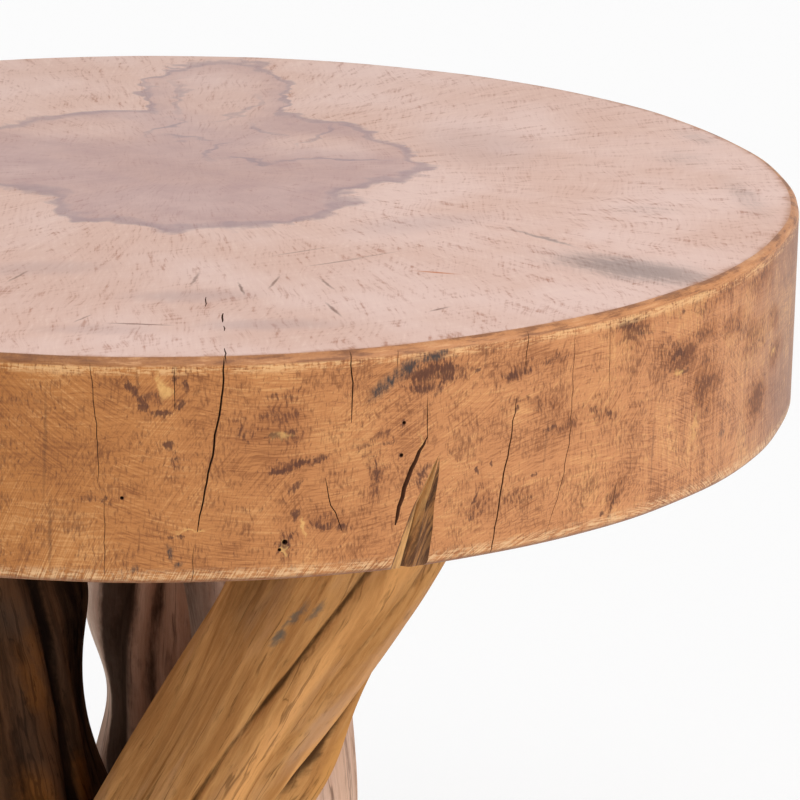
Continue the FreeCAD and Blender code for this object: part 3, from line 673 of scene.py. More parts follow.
# %% Where the checks run
# A check: its path as points along the arc and up, its widest opening and its depth, all in millimetres.
CHECKS = [
    ([(-21, 72), (-19, 52), (-18.8, 33)], 0.34, 4), ([(-16.8, 29), (-17, 2)], 0.3, 4),
    ([(5, 71), (4.6, 56)], 0.35, 3),
    ([(20.5, 75), (19, 58), (16.5, 42), (14, 28), (11.5, 17)], 0.75, 7), ([(10.8, 13), (10, -2)], 0.32, 4),
    ([(60, 75), (60.6, 60), (60, 50)], 0.5, 6), ([(76, 75), (75.6, 66)], 0.35, 3),
    ([(86, 56), (86.6, 40)], 0.45, 5), ([(52, 33), (54, 24), (58, 15)], 0.45, 4),
    ([(119, 52), (117, 38), (113, 18), (110, -2)], 0.9, 6), ([(123, 75), (122, 57)], 0.5, 5),
    ([(142, 72), (141, 35), (138, 20), (131, 1)], 0.65, 4), ([(157, 73), (158, 42)], 0.6, 3),
    ([(164, 18), (158, 3)], 0.6, 3), ([(183, 60), (184, 44)], 0.4, 3),
    ([(85.8, 43), (82, 36), (78.5, 27), (74.8, 15)], 1.9, 5),
    ([(-120, 75), (-118, 40), (-121, 12)], 0.6, 5), ([(-262, 75), (-259, 47)], 0.5, 4),
    ([(-410, 40), (-413, -2)], 0.5, 5), ([(-530, 75), (-527, 30)], 0.7, 6),
    ([(-655, 60), (-652, 22)], 0.5, 4), ([(345, 75), (342, 48), (344, 20)], 0.7, 6),
    ([(470, 50), (473, -2)], 0.6, 5), ([(585, 75), (588, 42)], 0.5, 4),
    ([(690, 75), (694, 50), (691, 12)], 0.7, 6),
]
# On the top, the points are to the right and to the back of the slab's middle.
TOP_CHECKS = [([(20.5, -231), (20.4, -217)], 0.45, 3), ([(20.6, -197), (20.4, -191)], 0.45, 1.5),
              ([(20.2, -187), (20.6, -176)], 0.6, 2), ([(15, -168), (15.5, -156)], 0.4, 1.5)]
# A worm hole: along the arc, up, radius.
WORM_HOLES = [(-11.5, 28.5, 0.6), (78, 48.5, 0.6), (77.2, 38, 0.65), (39.3, 12.8, 0.9), (37.6, 10.4, 0.6)]
HOLE_LENGTH = 14
HOLE_SIDES = 14
print("checks:", len(CHECKS) + len(TOP_CHECKS), "worm holes:", len(WORM_HOLES))

# %% A tool for each check
CHECK_STEP = 3.0
CHECK_SWAY = 0.3
# Shares of the widest opening at a check's first and last point.
CHECK_TIP = 0.35
CHECK_END = 0.3
# A triangle in a circle of radius 1. At the rim, its middle, it is two thirds as wide as at its base.
TRIANGLE_SIDE = math.sqrt(3)
TRIANGLE_HEIGHT = 1.5
BASE_OVER_OPENING = 1.5
chance = random.Random(7)


def wander(path):
    """The path in short steps, each a little off line, as wood splits."""
    spots = [path[0]]
    for start, end in zip(path, path[1:]):
        steps = max(1, round(math.dist(start, end) / CHECK_STEP))
        for step in range(1, steps + 1):
            share = step / steps
            spots.append(tuple(a + (b - a) * share + chance.uniform(-CHECK_SWAY, CHECK_SWAY)
                               for a, b in zip(start, end)))
    return spots


def wedge(points, inward, width, depth):
    """A tool for one check: a triangle, its point inwards, extruded through the points."""
    run = (points[-1] - points[0]).normalized()
    across = inward.cross(run).normalized()
    axes = Matrix((across, inward, across.cross(inward))).transposed()
    deselect()
    bpy.ops.mesh.primitive_circle_add(vertices=3, radius=1.0, fill_type="NGON", location=points[0],
                                      rotation=axes.to_euler())
    tool = bpy.context.object
    tool.scale = (width * MM * BASE_OVER_OPENING / TRIANGLE_SIDE, depth * MM / TRIANGLE_HEIGHT, 1)
    bpy.ops.object.transform_apply(location=False, rotation=False, scale=True)
    bpy.ops.object.mode_set(mode="EDIT")
    bpy.ops.mesh.select_all(action="SELECT")
    bpy.ops.transform.resize(value=(CHECK_TIP,) * 3)
    last = len(points) - 1
    opening = CHECK_TIP
    for number in range(1, last + 1):
        swell = math.sin(math.pi * number / last) ** 0.5
        wanted = CHECK_TIP + (1 - CHECK_TIP) * swell if number < last else CHECK_END
        step = points[number] - points[number - 1]
        bpy.ops.mesh.extrude_region_move(TRANSFORM_OT_translate={"value": step})
        bpy.ops.transform.resize(value=(wanted / opening,) * 3)
        opening = wanted
    bpy.ops.object.mode_set(mode="OBJECT")
    face_outwards(tool)
    return tool


print("tools narrow to", CHECK_TIP, "and", CHECK_END, "of their opening")

# %% Cut the checks
tools = []
for path, width, depth in CHECKS:
    points = [rim_point(*spot) for spot in wander(path)]
    inward = Vector((-points[0].x, -points[0].y, 0)).normalized()
    tools.append(wedge(points, inward, width, depth))
for path, width, depth in TOP_CHECKS:
    points = [Vector((x * MM, y * MM, TOP)) for x, y in wander(path)]
    tools.append(wedge(points, Vector((0, 0, -1)), width, depth))
for along_mm, up_mm, hole in WORM_HOLES:
    deselect()
    spin = Matrix.Rotation(along_mm * MM / RADIUS, 3, "Z") @ Matrix.Rotation(math.radians(90), 3, "X")
    bpy.ops.mesh.primitive_cylinder_add(vertices=HOLE_SIDES, radius=hole * MM, depth=HOLE_LENGTH * MM,
                                        location=rim_point(along_mm, up_mm), rotation=spin.to_euler())
    tools.append(bpy.context.object)
for tool in tools:
    tool.data.materials.append(check_dark.material)
print("tools for checks and worm holes:", len(tools))

# %% [markdown]
# The hollow is where rot was scraped out of the rim: a leaning wedge, open at the lower edge, with a floor
# of fibre strips. Its tool is a grid, laid over the hollow, whose columns go in to different depths; the
# grid is then extruded out through the rim.

# %% The weathered hollow's finish
# The strips lean with the hollow. Deeper in, it is painted darker as shade, from the first of these depths
# to the second, in millimetres.
LEAN = math.tan(math.radians(20))
SHADE_DEPTH = (3.4, 5.4)
HOLLOW_PALE = [(77.3, 16, 2.0, 32, 0, 1.0), (75.3, 6, 0.9, 14, 0, 0.7)]
# Dark spots: two thin dark lines along the fibres, and a painted shadow down the hollow's right side.
HOLLOW_LINES_AND_SHADE = [(73.7, 10, 0.9, 18, 0, 1.0), (80.2, 18, 0.7, 26, 0, 0.9), (84.6, 8, 1.6, 14, 0, 0.45)]

hollow = Finish("slab_hollow_fibres", roughness=0.75)
along, up, _ = rim_sheet(hollow)
strips = hollow.noise(hollow.join(along - up * LEAN, up * 0.08), 1.0, 4.0, 0.65)
leaning = hollow.sway(hollow.join(along - up * LEAN, up), 0.25, 1.6)
x, y, _ = hollow.split(hollow.place())
reach = hollow.length(hollow.join(x, y))
fibres = hollow.layer(
    hollow.mix(hollow.smooth(strips, 0.4, 0.6), srgb(96, 60, 33), srgb(176, 122, 70)),
    (hollow.spots(leaning, HOLLOW_PALE) * (0.3 + 1.1 * strips), srgb(214, 162, 100)),
    (hollow.spots(leaning, HOLLOW_LINES_AND_SHADE) * 0.85, srgb(54, 32, 19)),
    (hollow.smooth(reach, *(RADIUS - depth * MM for depth in SHADE_DEPTH)), srgb(40, 24, 14)),
)
hollow.set(base_color=fibres, normal=hollow.bump(strips, 0.5 * MM))
print("hollow finish nodes:", len(hollow.tree.nodes))

# %% Cut the hollow
HOLLOW_COLUMNS = 26
HOLLOW_ROWS = 16
# All in millimetres. An edge is a row of points: up, along the arc.
HOLLOW_FOOT = -3
HOLLOW_HEIGHT = 39
HOLLOW_MIDDLE = 82
HOLLOW_OUT = 10
HOLLOW_DEPTH = 2.6
HOLLOW_LIP = 0.4
LEAST_DEPTH = 0.2
LEFT_EDGE = ((-3, 72.2), (2, 74.2), (10, 77.2), (20, 81), (27, 85), (33, 88), (39, 91))
RIGHT_EDGE = ((-3, 86.6), (3, 87.2), (12, 88.6), (20, 89), (30, 90.6), (39, 91.6))
# The floor's strips: waves across the hollow, how high, where each starts.
STRIP_WAVES = ((1.7, 1.1, 0.3), (3.1, 0.9, 1.9), (6.3, 0.4, 0.8))
STRIP_SHARE = 0.8
STRIP_TWIST = 1.5
# The floor's sides are steep, and it comes up to the rim at the hollow's upper end.
BOWL_POWER = 0.4
CLOSING_SLOPE = 2.2
CLOSED_AT = 1.02

deselect()
bpy.ops.mesh.primitive_grid_add(x_subdivisions=HOLLOW_COLUMNS, y_subdivisions=HOLLOW_ROWS, size=2)
tool = bpy.context.object
places = places_of(tool)
share_across = (places[:, 0] + 1) / 2
share_up = (places[:, 1] + 1) / 2
height = HOLLOW_FOOT + (HOLLOW_HEIGHT - HOLLOW_FOOT) * share_up
left = np.interp(height, *zip(*LEFT_EDGE))
right = np.interp(height, *zip(*RIGHT_EDGE))
across = left + (right - left) * share_across
strip = sum(size * np.sin(2 * math.pi * count * share_across + start + STRIP_TWIST * share_up)
            for count, size, start in STRIP_WAVES)
bowl = np.sin(math.pi * share_across) ** BOWL_POWER
closing = np.minimum(1, CLOSING_SLOPE * (CLOSED_AT - share_up))
depth = HOLLOW_LIP + bowl * (HOLLOW_DEPTH - strip * STRIP_SHARE) * closing
shaped = [rim_point(a, u, -d) for a, u, d in zip(across, height, np.maximum(depth, LEAST_DEPTH))]
move_to(tool, np.array(shaped))
bpy.ops.object.mode_set(mode="EDIT")
bpy.ops.mesh.select_all(action="SELECT")
outward = rim_point(HOLLOW_MIDDLE, 0, HOLLOW_OUT) - rim_point(HOLLOW_MIDDLE, 0)
bpy.ops.mesh.extrude_region_move(TRANSFORM_OT_translate={"value": outward})
bpy.ops.object.mode_set(mode="OBJECT")
face_outwards(tool)
tool.data.materials.append(hollow.material)
tools.append(tool)
print("hollow tool faces:", len(tool.data.polygons))

# %% Take the tools out of the drum
LEVEL_FACE = 0.99
RIM_SLOT = 0
TOP_SLOT = 1
slab.data.materials.append(rim.material)
slab.data.materials.append(top.material)
for face in slab.data.polygons:
    face.material_index = TOP_SLOT if abs(face.normal.z) > LEVEL_FACE else RIM_SLOT

deselect()
for tool in tools:
    tool.select_set(True)
bpy.context.view_layer.objects.active = tools[0]
bpy.ops.object.join()
combine(slab, bpy.context.object, operation="DIFFERENCE", solver="EXACT", use_self=True,
        material_mode="TRANSFER")
smooth_shading(slab, degrees=32)
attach(slab, "root")
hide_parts("slab_top")
print("slab faces:", len(slab.data.polygons), [slot.name for slot in slab.data.materials])

# %% [markdown]
# ## Where the trunks run
# Each trunk's middle line is read from the frame: its glide marks the foot, its tenon the top, and the
# plugs of its two bolted joints the waist. Between those the line runs straight. The bends are the skin's,
# because it is laid on the CAD trunk.

# %% Where the trunks run
# From a joint's flat to the trunk's line; half the line's run at the waist; from the slab down to where the
# line meets the tenon's middle.
AXIS_FROM_FLAT = 29.5 * MM
STRAIGHT_HALF = 25 * MM
TENON_DROP = 17 * MM


class Joint:
    """A bolted joint: the middle of the two plugs, and the way from the second trunk into the first."""

    def __init__(self, first, second):
        head = middle(f"head_plug_{first}_{second}")
        nut = middle(f"nut_plug_{first}_{second}")
        self.first, self.second = first, second
        self.centre = (head + nut) / 2
        self.normal = (head - nut).normalized()


JOINTS = [Joint(leg, LEGS[(number + 1) % 4]) for number, leg in enumerate(LEGS)]


def waist_line(leg):
    """A point on the trunk's axis at the waist and the axis's direction, from its two joints."""
    own = next(joint for joint in JOINTS if joint.first == leg)
    shared = next(joint for joint in JOINTS if joint.second == leg)
    upper = own.centre + own.normal * AXIS_FROM_FLAT
    lower = shared.centre - shared.normal * AXIS_FROM_FLAT
    return (upper + lower) / 2, (upper - lower).normalized()


def trunk_line(leg, heights):
    """Middle of the trunk at each height, as x and y."""
    waist, run = waist_line(leg)
    slope = Vector((run.x, run.y)) / run.z
    foot = middle(f"foot_glide_{leg}")
    tenon = middle(f"tenon_{leg}")
    pegged = UNDERSIDE - TENON_DROP
    stations = [heights[0], waist.z - STRAIGHT_HALF, waist.z + STRAIGHT_HALF, pegged]
    spots = [foot.xy, waist.xy - slope * STRAIGHT_HALF, waist.xy + slope * STRAIGHT_HALF, tenon.xy]
    stations.append(heights[-1])
    spots.append(spots[-1] + (spots[-1] - spots[-2]) * (heights[-1] - pegged) / (pegged - stations[2]))
    return np.array([np.interp(heights, stations, [spot[axis] for spot in spots]) for axis in range(2)])


for leg in LEGS:
    waist, run = waist_line(leg)
    print(leg, "waist", [round(part, 4) for part in waist], "runs", [round(part, 3) for part in run])

# %% [markdown]
# ## Wrapping a trunk in a fine skin
# A trunk starts as a flat grid, rolled around the trunk's line and laid on the CAD trunk by casting a ray
# at it from every vertex. So the skin follows the CAD trunk closely, with its knot and its joint flats. Then
# it is carved: grooves run along the grain, ridges stand between them and three sizes of waves roughen it.

# %% Wrap a trunk
AROUND = 224
ALONG = 300
FLAT_REACH = 52 * MM
GRAIN_RADIUS = 32.0
CAST_FROM = 75 * MM


def skin_target(leg):
    """The CAD trunk and its two plugs as one surface to cast rays at."""
    nodes = [f"trunk_leg_{leg}"]
    nodes += [f"head_plug_{joint.first}_{joint.second}" for joint in JOINTS if joint.first == leg]
    nodes += [f"nut_plug_{joint.first}_{joint.second}" for joint in JOINTS if joint.second == leg]
    vertices, faces = [], []
    for node in nodes:
        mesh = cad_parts[node].data
        faces += [[len(vertices) + spot for spot in face.vertices] for face in mesh.polygons]
        vertices += [vertex.co.copy() for vertex in mesh.vertices]
    return BVHTree.FromPolygons(vertices, faces)


def cast_radius(leg, line, heights, bearings):
    """How far the CAD trunk's skin is from its line, at each height and bearing."""
    target = skin_target(leg)
    radius = np.empty((len(heights), len(bearings)))
    for row, height in enumerate(heights):
        centre = Vector((*line[:, row], height))
        for column, bearing in enumerate(bearings):
            way = Vector((math.sin(bearing), -math.cos(bearing), 0))
            hit = target.ray_cast(centre + way * CAST_FROM, -way)[3]
            radius[row, column] = CAST_FROM - hit
    return radius


def soften(radius, rounds):
    """Averages each place with its neighbours, so that the CAD mesh's facets vanish."""
    for _ in range(rounds):
        sides = np.roll(radius, 1, 1) + np.roll(radius, -1, 1)
        tall = np.vstack((radius[:1], radius, radius[-1:]))
        radius = (sides + tall[:-2] + tall[2:] + 2 * radius) / 6
    return radius


def keep_to_flats(leg, places):
    """Holds a trunk on its own side of its two joint flats."""
    for joint in JOINTS:
        if leg not in (joint.first, joint.second):
            continue
        side = joint.normal if leg == joint.first else -joint.normal
        away = places - np.array(joint.centre)
        over = away @ np.array(side)
        near = np.linalg.norm(away - over[:, None] * np.array(side), axis=1) < FLAT_REACH
        places = places - np.where(near & (over < 0), over, 0)[:, None] * np.array(side)
    return places


print("trunk skins:", AROUND, "around by", ALONG, "along")

# %% [markdown]
# ## What grew on each trunk
# Grooves and ridges are given by their bearing in degrees at the seat and at the foot (0 faces the front,
# 90 the right), their depth in millimetres and their half width in degrees. Hollows are the broad dents
# between old roots: bearing, height, half height, depth, half width; one with a negative depth is a lump.

# %% What grew on each trunk
GROOVES = {
    "front": [(23, -77, 2.6, 3.0), (48, -9, 1.6, 3.0), (80, 0, 4.0, 4.5), (-50, -100, 0.8, 4),
              (120, 90, 2.5, 8), (165, 150, 3.0, 9), (-140, -170, 2.2, 8)],
    "right": [(-60, -80, 2.0, 6), (-20, -50, 2.6, 7), (25, 10, 1.2, 4), (110, 90, 3.0, 9),
              (170, 160, 2.2, 7), (-110, -130, 2.6, 8)],
    "back": [(-46, -60, 5.0, 13), (-10, -30, 1.8, 6), (30, 0, 2.4, 7), (80, 60, 2.6, 8), (130, 110, 2.2, 6),
             (-150, -170, 2.8, 8)],
    "left": [(40, 22, 3.2, 6), (64, 46, 1.4, 6), (8, -20, 2.0, 6), (-30, -50, 2.6, 7), (-80, -100, 2.4, 8),
             (120, 100, 2.0, 7), (165, 150, 3.0, 9), (-130, -150, 2.0, 6)],
}
RIDGES = {"front": [(38, -46, 1.8, 10), (64, 20, 1.2, 8)], "right": [(0, -20, 1.6, 12), (60, 50, 1.2, 14)],
          "back": [(-75, -90, 1.5, 12), (10, -10, 1.4, 10)], "left": [(24, 4, 1.6, 10), (-10, -30, 1.4, 10)]}
HOLLOWS = {
    "front": [(-75, 298, 85, 10.8, 36), (86, 371, 5, -2.4, 8), (88, 292, 40, -13.0, 24)],
    "right": [(85, 285, 60, 5.0, 40), (88, 303, 6, -1.2, 20)],
    "back": [(-85, 282, 21, 13.0, 40), (-80, 338, 22, -8.5, 35)],
    "left": [(85, 290, 34, 6.2, 35), (82, 358, 26, -8.0, 36)],
}
# Waves: how many, how many around the trunk, how long in millimetres, how high.
ROUGHNESS = ((14, (2, 6), (90, 320), 0.7), (18, (9, 24), (40, 160), 0.3), (20, (30, 60), (30, 120), 0.1))
print("grooves:", {leg: len(grooves) for leg, grooves in GROOVES.items()})

# %% Carve a trunk
# Each line sways by some degrees, and its depth comes and goes. Both lengths are millimetres to a radian.
LINE_SWAY = 2.5
SWAY_LENGTHS = (14, 30)
DEPTH_LENGTHS = (18, 45)


def gap_between(bearings, line):
    """Bearing off a line, in degrees from -180 to 180."""
    return (bearings - line + 180) % 360 - 180


def waves(chance, degrees, heights, count, around, along, size):
    """Sum of waves that run mostly along the grain: around per turn, along in millimetres."""
    total = np.zeros(np.broadcast(degrees, heights).shape)
    for _ in range(count):
        turns = chance.randint(*around)
        length = chance.uniform(*along)
        start = chance.uniform(0, 2 * math.pi)
        total += np.sin(np.radians(degrees) * turns + heights * 2 * math.pi / length + start)
    return total * size / math.sqrt(count)


def wave_down(chance, heights, shortest, longest):
    """One wave down a trunk, its length and start drawn by chance."""
    return np.sin(heights / chance.uniform(shortest, longest) + chance.uniform(0, 6))


def lines_along(chance, degrees, heights, lines):
    """Long soft-sided lines down a trunk, each swaying and of uneven depth."""
    rise = (heights - heights.min()) / (heights.max() - heights.min())
    total = np.zeros(np.broadcast(degrees, heights).shape)
    for seat, foot, depth, half in lines:
        line = foot + (seat - foot) * rise + LINE_SWAY * wave_down(chance, heights, *SWAY_LENGTHS)
        uneven = 0.8 + 0.2 * wave_down(chance, heights, *DEPTH_LENGTHS)
        total += depth * uneven * np.exp(-(gap_between(degrees, line) / half) ** 2)
    return total


def carve(leg, degrees, heights):
    """Millimetres to add to the radius: by grooves and ridges alone, and with hollows and waves too."""
    chance = random.Random(leg)
    ridges = lines_along(chance, degrees, heights, RIDGES[leg])
    fluted = ridges - lines_along(chance, degrees, heights, GROOVES[leg])
    cut = fluted.copy()
    for bearing, height, tall, depth, half in HOLLOWS[leg]:
        off = (gap_between(degrees, bearing) / half) ** 2 + ((heights - height) / tall) ** 2
        cut -= depth * np.exp(-off)
    for roughness in ROUGHNESS:
        cut += waves(chance, degrees, heights, *roughness)
    return fluted, cut


print("carved by", len(ROUGHNESS), "sizes of waves, besides grooves, ridges and hollows")

# %% Skin and carving together
# Carving starts at the first of these distances from a plug's middle, and is full at the second.
PLUG_CLEAR = (10.5 * MM, 17 * MM)
SKIN_INSET = 0.3 * MM
SOFTEN_ROUNDS = 5
MERGE_WITHIN = 0.01 * MM
foot_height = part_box("foot_glide_front")[1].z
heights = np.linspace(foot_height, UNDERSIDE, ALONG)
bearings = np.linspace(-math.pi, math.pi, AROUND)


def plug_mask(leg, places):
    """0 on the trunk's plugs, 1 away from them, so that carving leaves their rims level."""
    mask = np.ones(len(places))
    for joint in JOINTS:
        names = {joint.first: "head_plug", joint.second: "nut_plug"}
        if leg in names:
            plug = middle(f"{names[leg]}_{joint.first}_{joint.second}")
            far = np.linalg.norm(places - np.array(plug), axis=1)
            mask = np.minimum(mask, np.clip((far - PLUG_CLEAR[0]) / (PLUG_CLEAR[1] - PLUG_CLEAR[0]), 0, 1))
    return mask


def sleeve(line, radius):
    """Places of a skin with the given radius at each height and bearing, row by row."""
    x = line[0][:, None] + radius * np.sin(bearings)
    y = line[1][:, None] - radius * np.cos(bearings)
    z = np.broadcast_to(heights[:, None], radius.shape)
    return np.stack((x, y, z), axis=-1).reshape(-1, 3)


def note_grain(trunk, fluted):
    """Keeps, for the finish, each vertex's place on a straightened trunk and its flutes' depth."""
    around = (GRAIN_RADIUS * np.sin(bearings), -GRAIN_RADIUS * np.cos(bearings))
    straight = np.stack(np.broadcast_arrays(*around, heights[:, None] / MM), axis=-1)
    grain = trunk.data.attributes.new("grain", "FLOAT_VECTOR", "POINT")
    grain.data.foreach_set("vector", straight.astype(np.float32).ravel())
    flutes = trunk.data.attributes.new("fluted", "FLOAT", "POINT")
    flutes.data.foreach_set("value", fluted.astype(np.float32).ravel())


def close_skin(trunk):
    """Joins the rolled grid's seam and caps both ends."""
    bpy.ops.object.mode_set(mode="EDIT")
    bpy.ops.mesh.select_all(action="SELECT")
    bpy.ops.mesh.remove_doubles(threshold=MERGE_WITHIN)
    bpy.ops.mesh.select_all(action="DESELECT")
    bpy.ops.mesh.select_mode(type="EDGE")
    bpy.ops.mesh.select_non_manifold()
    bpy.ops.mesh.edge_face_add()
    bpy.ops.object.mode_set(mode="OBJECT")
    face_outwards(trunk)


print(f"trunks stand from {foot_height:.4f} to {UNDERSIDE:.4f}")


# %% Model the trunks
def model_trunk(leg):
    deselect()
    bpy.ops.mesh.primitive_grid_add(x_subdivisions=AROUND - 1, y_subdivisions=ALONG - 1, size=2)
    trunk = bpy.context.object
    trunk.name = f"trunk_{leg}"
    line = trunk_line(leg, heights)
    inner = np.clip(heights, foot_height + SKIN_INSET, UNDERSIDE - SKIN_INSET)
    radius = soften(cast_radius(leg, line, inner, bearings), SOFTEN_ROUNDS)
    fluted, cut = carve(leg, np.degrees(bearings)[None, :], heights[:, None] / MM)
    mask = plug_mask(leg, sleeve(line, radius)).reshape(cut.shape)
    move_to(trunk, keep_to_flats(leg, sleeve(line, radius + cut * mask * MM)))
    note_grain(trunk, fluted * mask)
    close_skin(trunk)
    smooth_shading(trunk, degrees=55)
    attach(trunk, "root")
    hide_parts(f"trunk_leg_{leg}")
    print(trunk.name, "faces", len(trunk.data.polygons), f"carved {cut.min():.1f} to {cut.max():.1f} mm")
    return trunk


trunks = {leg: model_trunk(leg) for leg in LEGS}

# %% [markdown]
# ## The trunks' finish
# Weathered, oiled wood: streaks along the grain, ridges painted lighter and golden as a highlight, grooves
# painted nearly black as shade, flakes of old bark, and grey patches. All four share one recipe; only the
# tones and marks differ, and some of the marks are painted light and shade. The recipe reads two attributes
# of the skin: its straightened grain place, and how deep its flutes are.

# %% The trunks' tones and marks
TONES = {
    "front": {"deep": srgb(60, 36, 20), "mid": srgb(172, 120, 70), "lit": srgb(200, 148, 92),
              "ridge": srgb(226, 164, 102), "cool": srgb(180, 136, 100), "bark": 0.2},
    "right": {"deep": srgb(76, 52, 38), "mid": srgb(190, 154, 132), "lit": srgb(220, 186, 164),
              "ridge": srgb(214, 174, 146), "cool": srgb(190, 160, 142), "bark": 0.2},
    "back": {"deep": srgb(32, 19, 12), "mid": srgb(168, 132, 108), "lit": srgb(194, 158, 134),
             "ridge": srgb(190, 152, 126), "cool": srgb(174, 142, 122), "bark": 0.2},
    "left": {"deep": srgb(18, 13, 11), "mid": srgb(56, 38, 26), "lit": srgb(88, 61, 42),
             "ridge": srgb(84, 57, 38), "cool": srgb(66, 51, 42), "bark": 0.5},
}
# Marks on a trunk: a colour, then spots in millimetres, around from the front and up from the floor. Some
# are painted light and shade, as noted.
MARKS = {
    "front": [
        (srgb(186, 146, 116), [(33, 365, 7, 45, -8, 0.7), (42, 395, 8, 34, -8, 0.7),
                               (27, 330, 5, 30, -10, 0.6)]),
        (srgb(84, 88, 84), [(-7.8, 366, 3.0, 4.6, 0, 0.9), (-6.7, 376, 2.0, 8, -14, 0.9),
                            (-1, 379, 2.0, 5, -14, 0.7)]),
        (srgb(50, 39, 31), [(36.5, 344, 1.8, 9, -6, 0.9), (35.5, 331, 2.6, 12, -6, 0.9),
                            (33, 310, 3.2, 18, -8, 0.9)]),
        # An orange ridge lit from the right-front: a painted highlight.
        (srgb(206, 148, 84), [(44, 310, 5, 26, -6, 0.8)]),
        # The slab's shadow on the trunk's upper left, painted.
        (srgb(88, 58, 32), [(-34, 390, 26, 40, 0, 0.75)]),
    ],
    # The trunk's inner flank, painted dark as shade between the trunks.
    "right": [(srgb(74, 49, 34), [(-36, 380, 24, 90, 0, 1.0)])],
    "back": [
        # The left flank, painted pale as light from the white room behind.
        (srgb(238, 214, 196), [(-44, 335, 16, 130, 0, 1.0)]),
        # A flute beside it, painted near black as shade.
        (srgb(26, 15, 10), [(-23, 320, 7, 130, 0, 0.75)]),
    ],
    "left": [
        (srgb(120, 74, 32), [(11, 324, 6, 22, 8, 0.6), (15, 336, 4, 14, 0, 0.5), (4, 276, 9, 16, 0, 0.8),
                             (24, 277, 7, 15, 0, 0.8), (-8, 320, 6, 26, 0, 0.4)]),
        (srgb(70, 56, 46), [(6, 352, 10, 12, 0, 0.6)]),
        # The inner right flank, near black: partly the trunk's charred colour, partly painted shade under
        # the slab.
        (srgb(8, 6, 6), [(40, 350, 12, 130, 0, 0.95), (22, 345, 3, 60, -4, 0.8)]),
    ],
}
print("marks on the trunks:", {leg: len(marks) for leg, marks in MARKS.items()})


# %% The trunks' finish
def trunk_finish(leg):
    """Wood in one trunk's tones, with its marks, grooves painted dark as shade, ridges painted light as a
    highlight, flakes of old bark and thin seams.
    """
    tones = TONES[leg]
    finish = Finish(f"trunk_wood_{leg}", specular_ior_level=0.0)
    place = finish.attribute("grain")
    fluted = finish.attribute("fluted", "Fac")
    wandering = finish.sway(place, 0.03, 5.0)
    streaks = finish.grain(wandering, 0.24, 0.24, 0.018, detail=4.0)
    fibres = finish.grain(wandering, 1.6, 1.6, 0.1, roughness=0.65)
    clouds = finish.grain(place, 0.06, 0.06, 0.024, roughness=0.55)
    flecks = finish.grain(place, 0.3, 0.3, 0.09, detail=4.0, roughness=0.65)
    tone = streaks + 0.6 * clouds + 0.4 * fibres
    # Ridges, from the flutes' depth, are painted lighter in the ridge tone, as a highlight.
    wood = finish.layer(
        finish.mix(finish.smooth(tone, -0.2, 0.22), tones["mid"], tones["lit"]),
        (finish.smooth(clouds, 0.02, 0.2) * 0.45, tones["cool"]),
        (finish.smooth(fluted + 2.0 * streaks, 0.2, 1.8) * 0.8, tones["ridge"]),
        (finish.smooth(fibres + flecks, 0.06, 0.42) * 0.4, tones["deep"]),
    )
    x, y, height = finish.split(place)
    sheet = finish.join(x.math("ARCTAN2", x, 0 - y) * GRAIN_RADIUS, height)
    ragged = finish.sway(finish.sway(sheet, 0.08, 9.0), 0.4, 4.0)
    for colour, spots in MARKS[leg]:
        wood = finish.mix(finish.spots(ragged, spots) * (0.8 + 1.2 * flecks), wood, colour)
    # Grooves, from the flutes' depth, are painted dark as shade in the recesses; the flakes of old bark are
    # the wood's own.
    grooves = finish.smooth(fluted + 2.4 * flecks + 2.0 * streaks, -0.7, -2.4)
    old_bark = finish.smooth(flecks + 0.5 * clouds, 0.12, 0.26) * tones["bark"]
    seams = finish.grain(wandering, 0.13, 0.13, 0.004, roughness=0.55)
    seams = finish.smooth(seams.math("ABSOLUTE", seams), 0.022, 0.004)
    seams = seams * finish.smooth(flecks + clouds, -0.12, 0.14)
    shade = grooves.math("MAXIMUM", grooves * 0.85, old_bark)
    wood = finish.mix(shade.math("MAXIMUM", shade, seams * 0.5), wood, tones["deep"])
    relief = streaks * 0.6 + fibres * 0.4 + flecks * 0.5
    finish.set(base_color=wood, roughness=0.5 + 0.2 * grooves, normal=finish.bump(relief, 0.8 * MM))
    return finish


for leg in LEGS:
    trunks[leg].data.materials.append(trunk_finish(leg).material)
print("trunk finishes:", len(LEGS))

# %% [markdown]
# ## Wooden plugs over the bolts
# Each bolt head and nut sits in a pocket closed by a round plug, pared almost level with the trunk. One
# plug is modelled: a cylinder, trimmed by a larger cylinder nearly as round as the trunk. Eight copies then
# go to their places, each with its own mesh.

# %% Wooden plugs
PLUG_RADIUS = 9.9 * MM
PLUG_INNER = 54.5 * MM
PLUG_PROUD = 0.6 * MM
TRUNK_RADIUS = 32 * MM
TRIM_LENGTH = 60 * MM
PLUG_SIDES = 48
TRIM_SIDES = 256

deselect()
plug_outer = AXIS_FROM_FLAT + TRUNK_RADIUS + PLUG_PROUD
bpy.ops.mesh.primitive_cylinder_add(vertices=PLUG_SIDES, radius=PLUG_RADIUS, depth=plug_outer - PLUG_INNER,
                                    location=(0, 0, (plug_outer + PLUG_INNER) / 2))
plug = bpy.context.object
plug.name = "plug_pattern"
bpy.ops.object.transform_apply(location=True, rotation=True, scale=True)
deselect()
bpy.ops.mesh.primitive_cylinder_add(vertices=TRIM_SIDES, radius=TRUNK_RADIUS + PLUG_PROUD, depth=TRIM_LENGTH,
                                    location=(0, 0, AXIS_FROM_FLAT), rotation=(0, math.radians(90), 0))
combine(plug, bpy.context.object, operation="INTERSECT")
smooth_shading(plug, degrees=30)

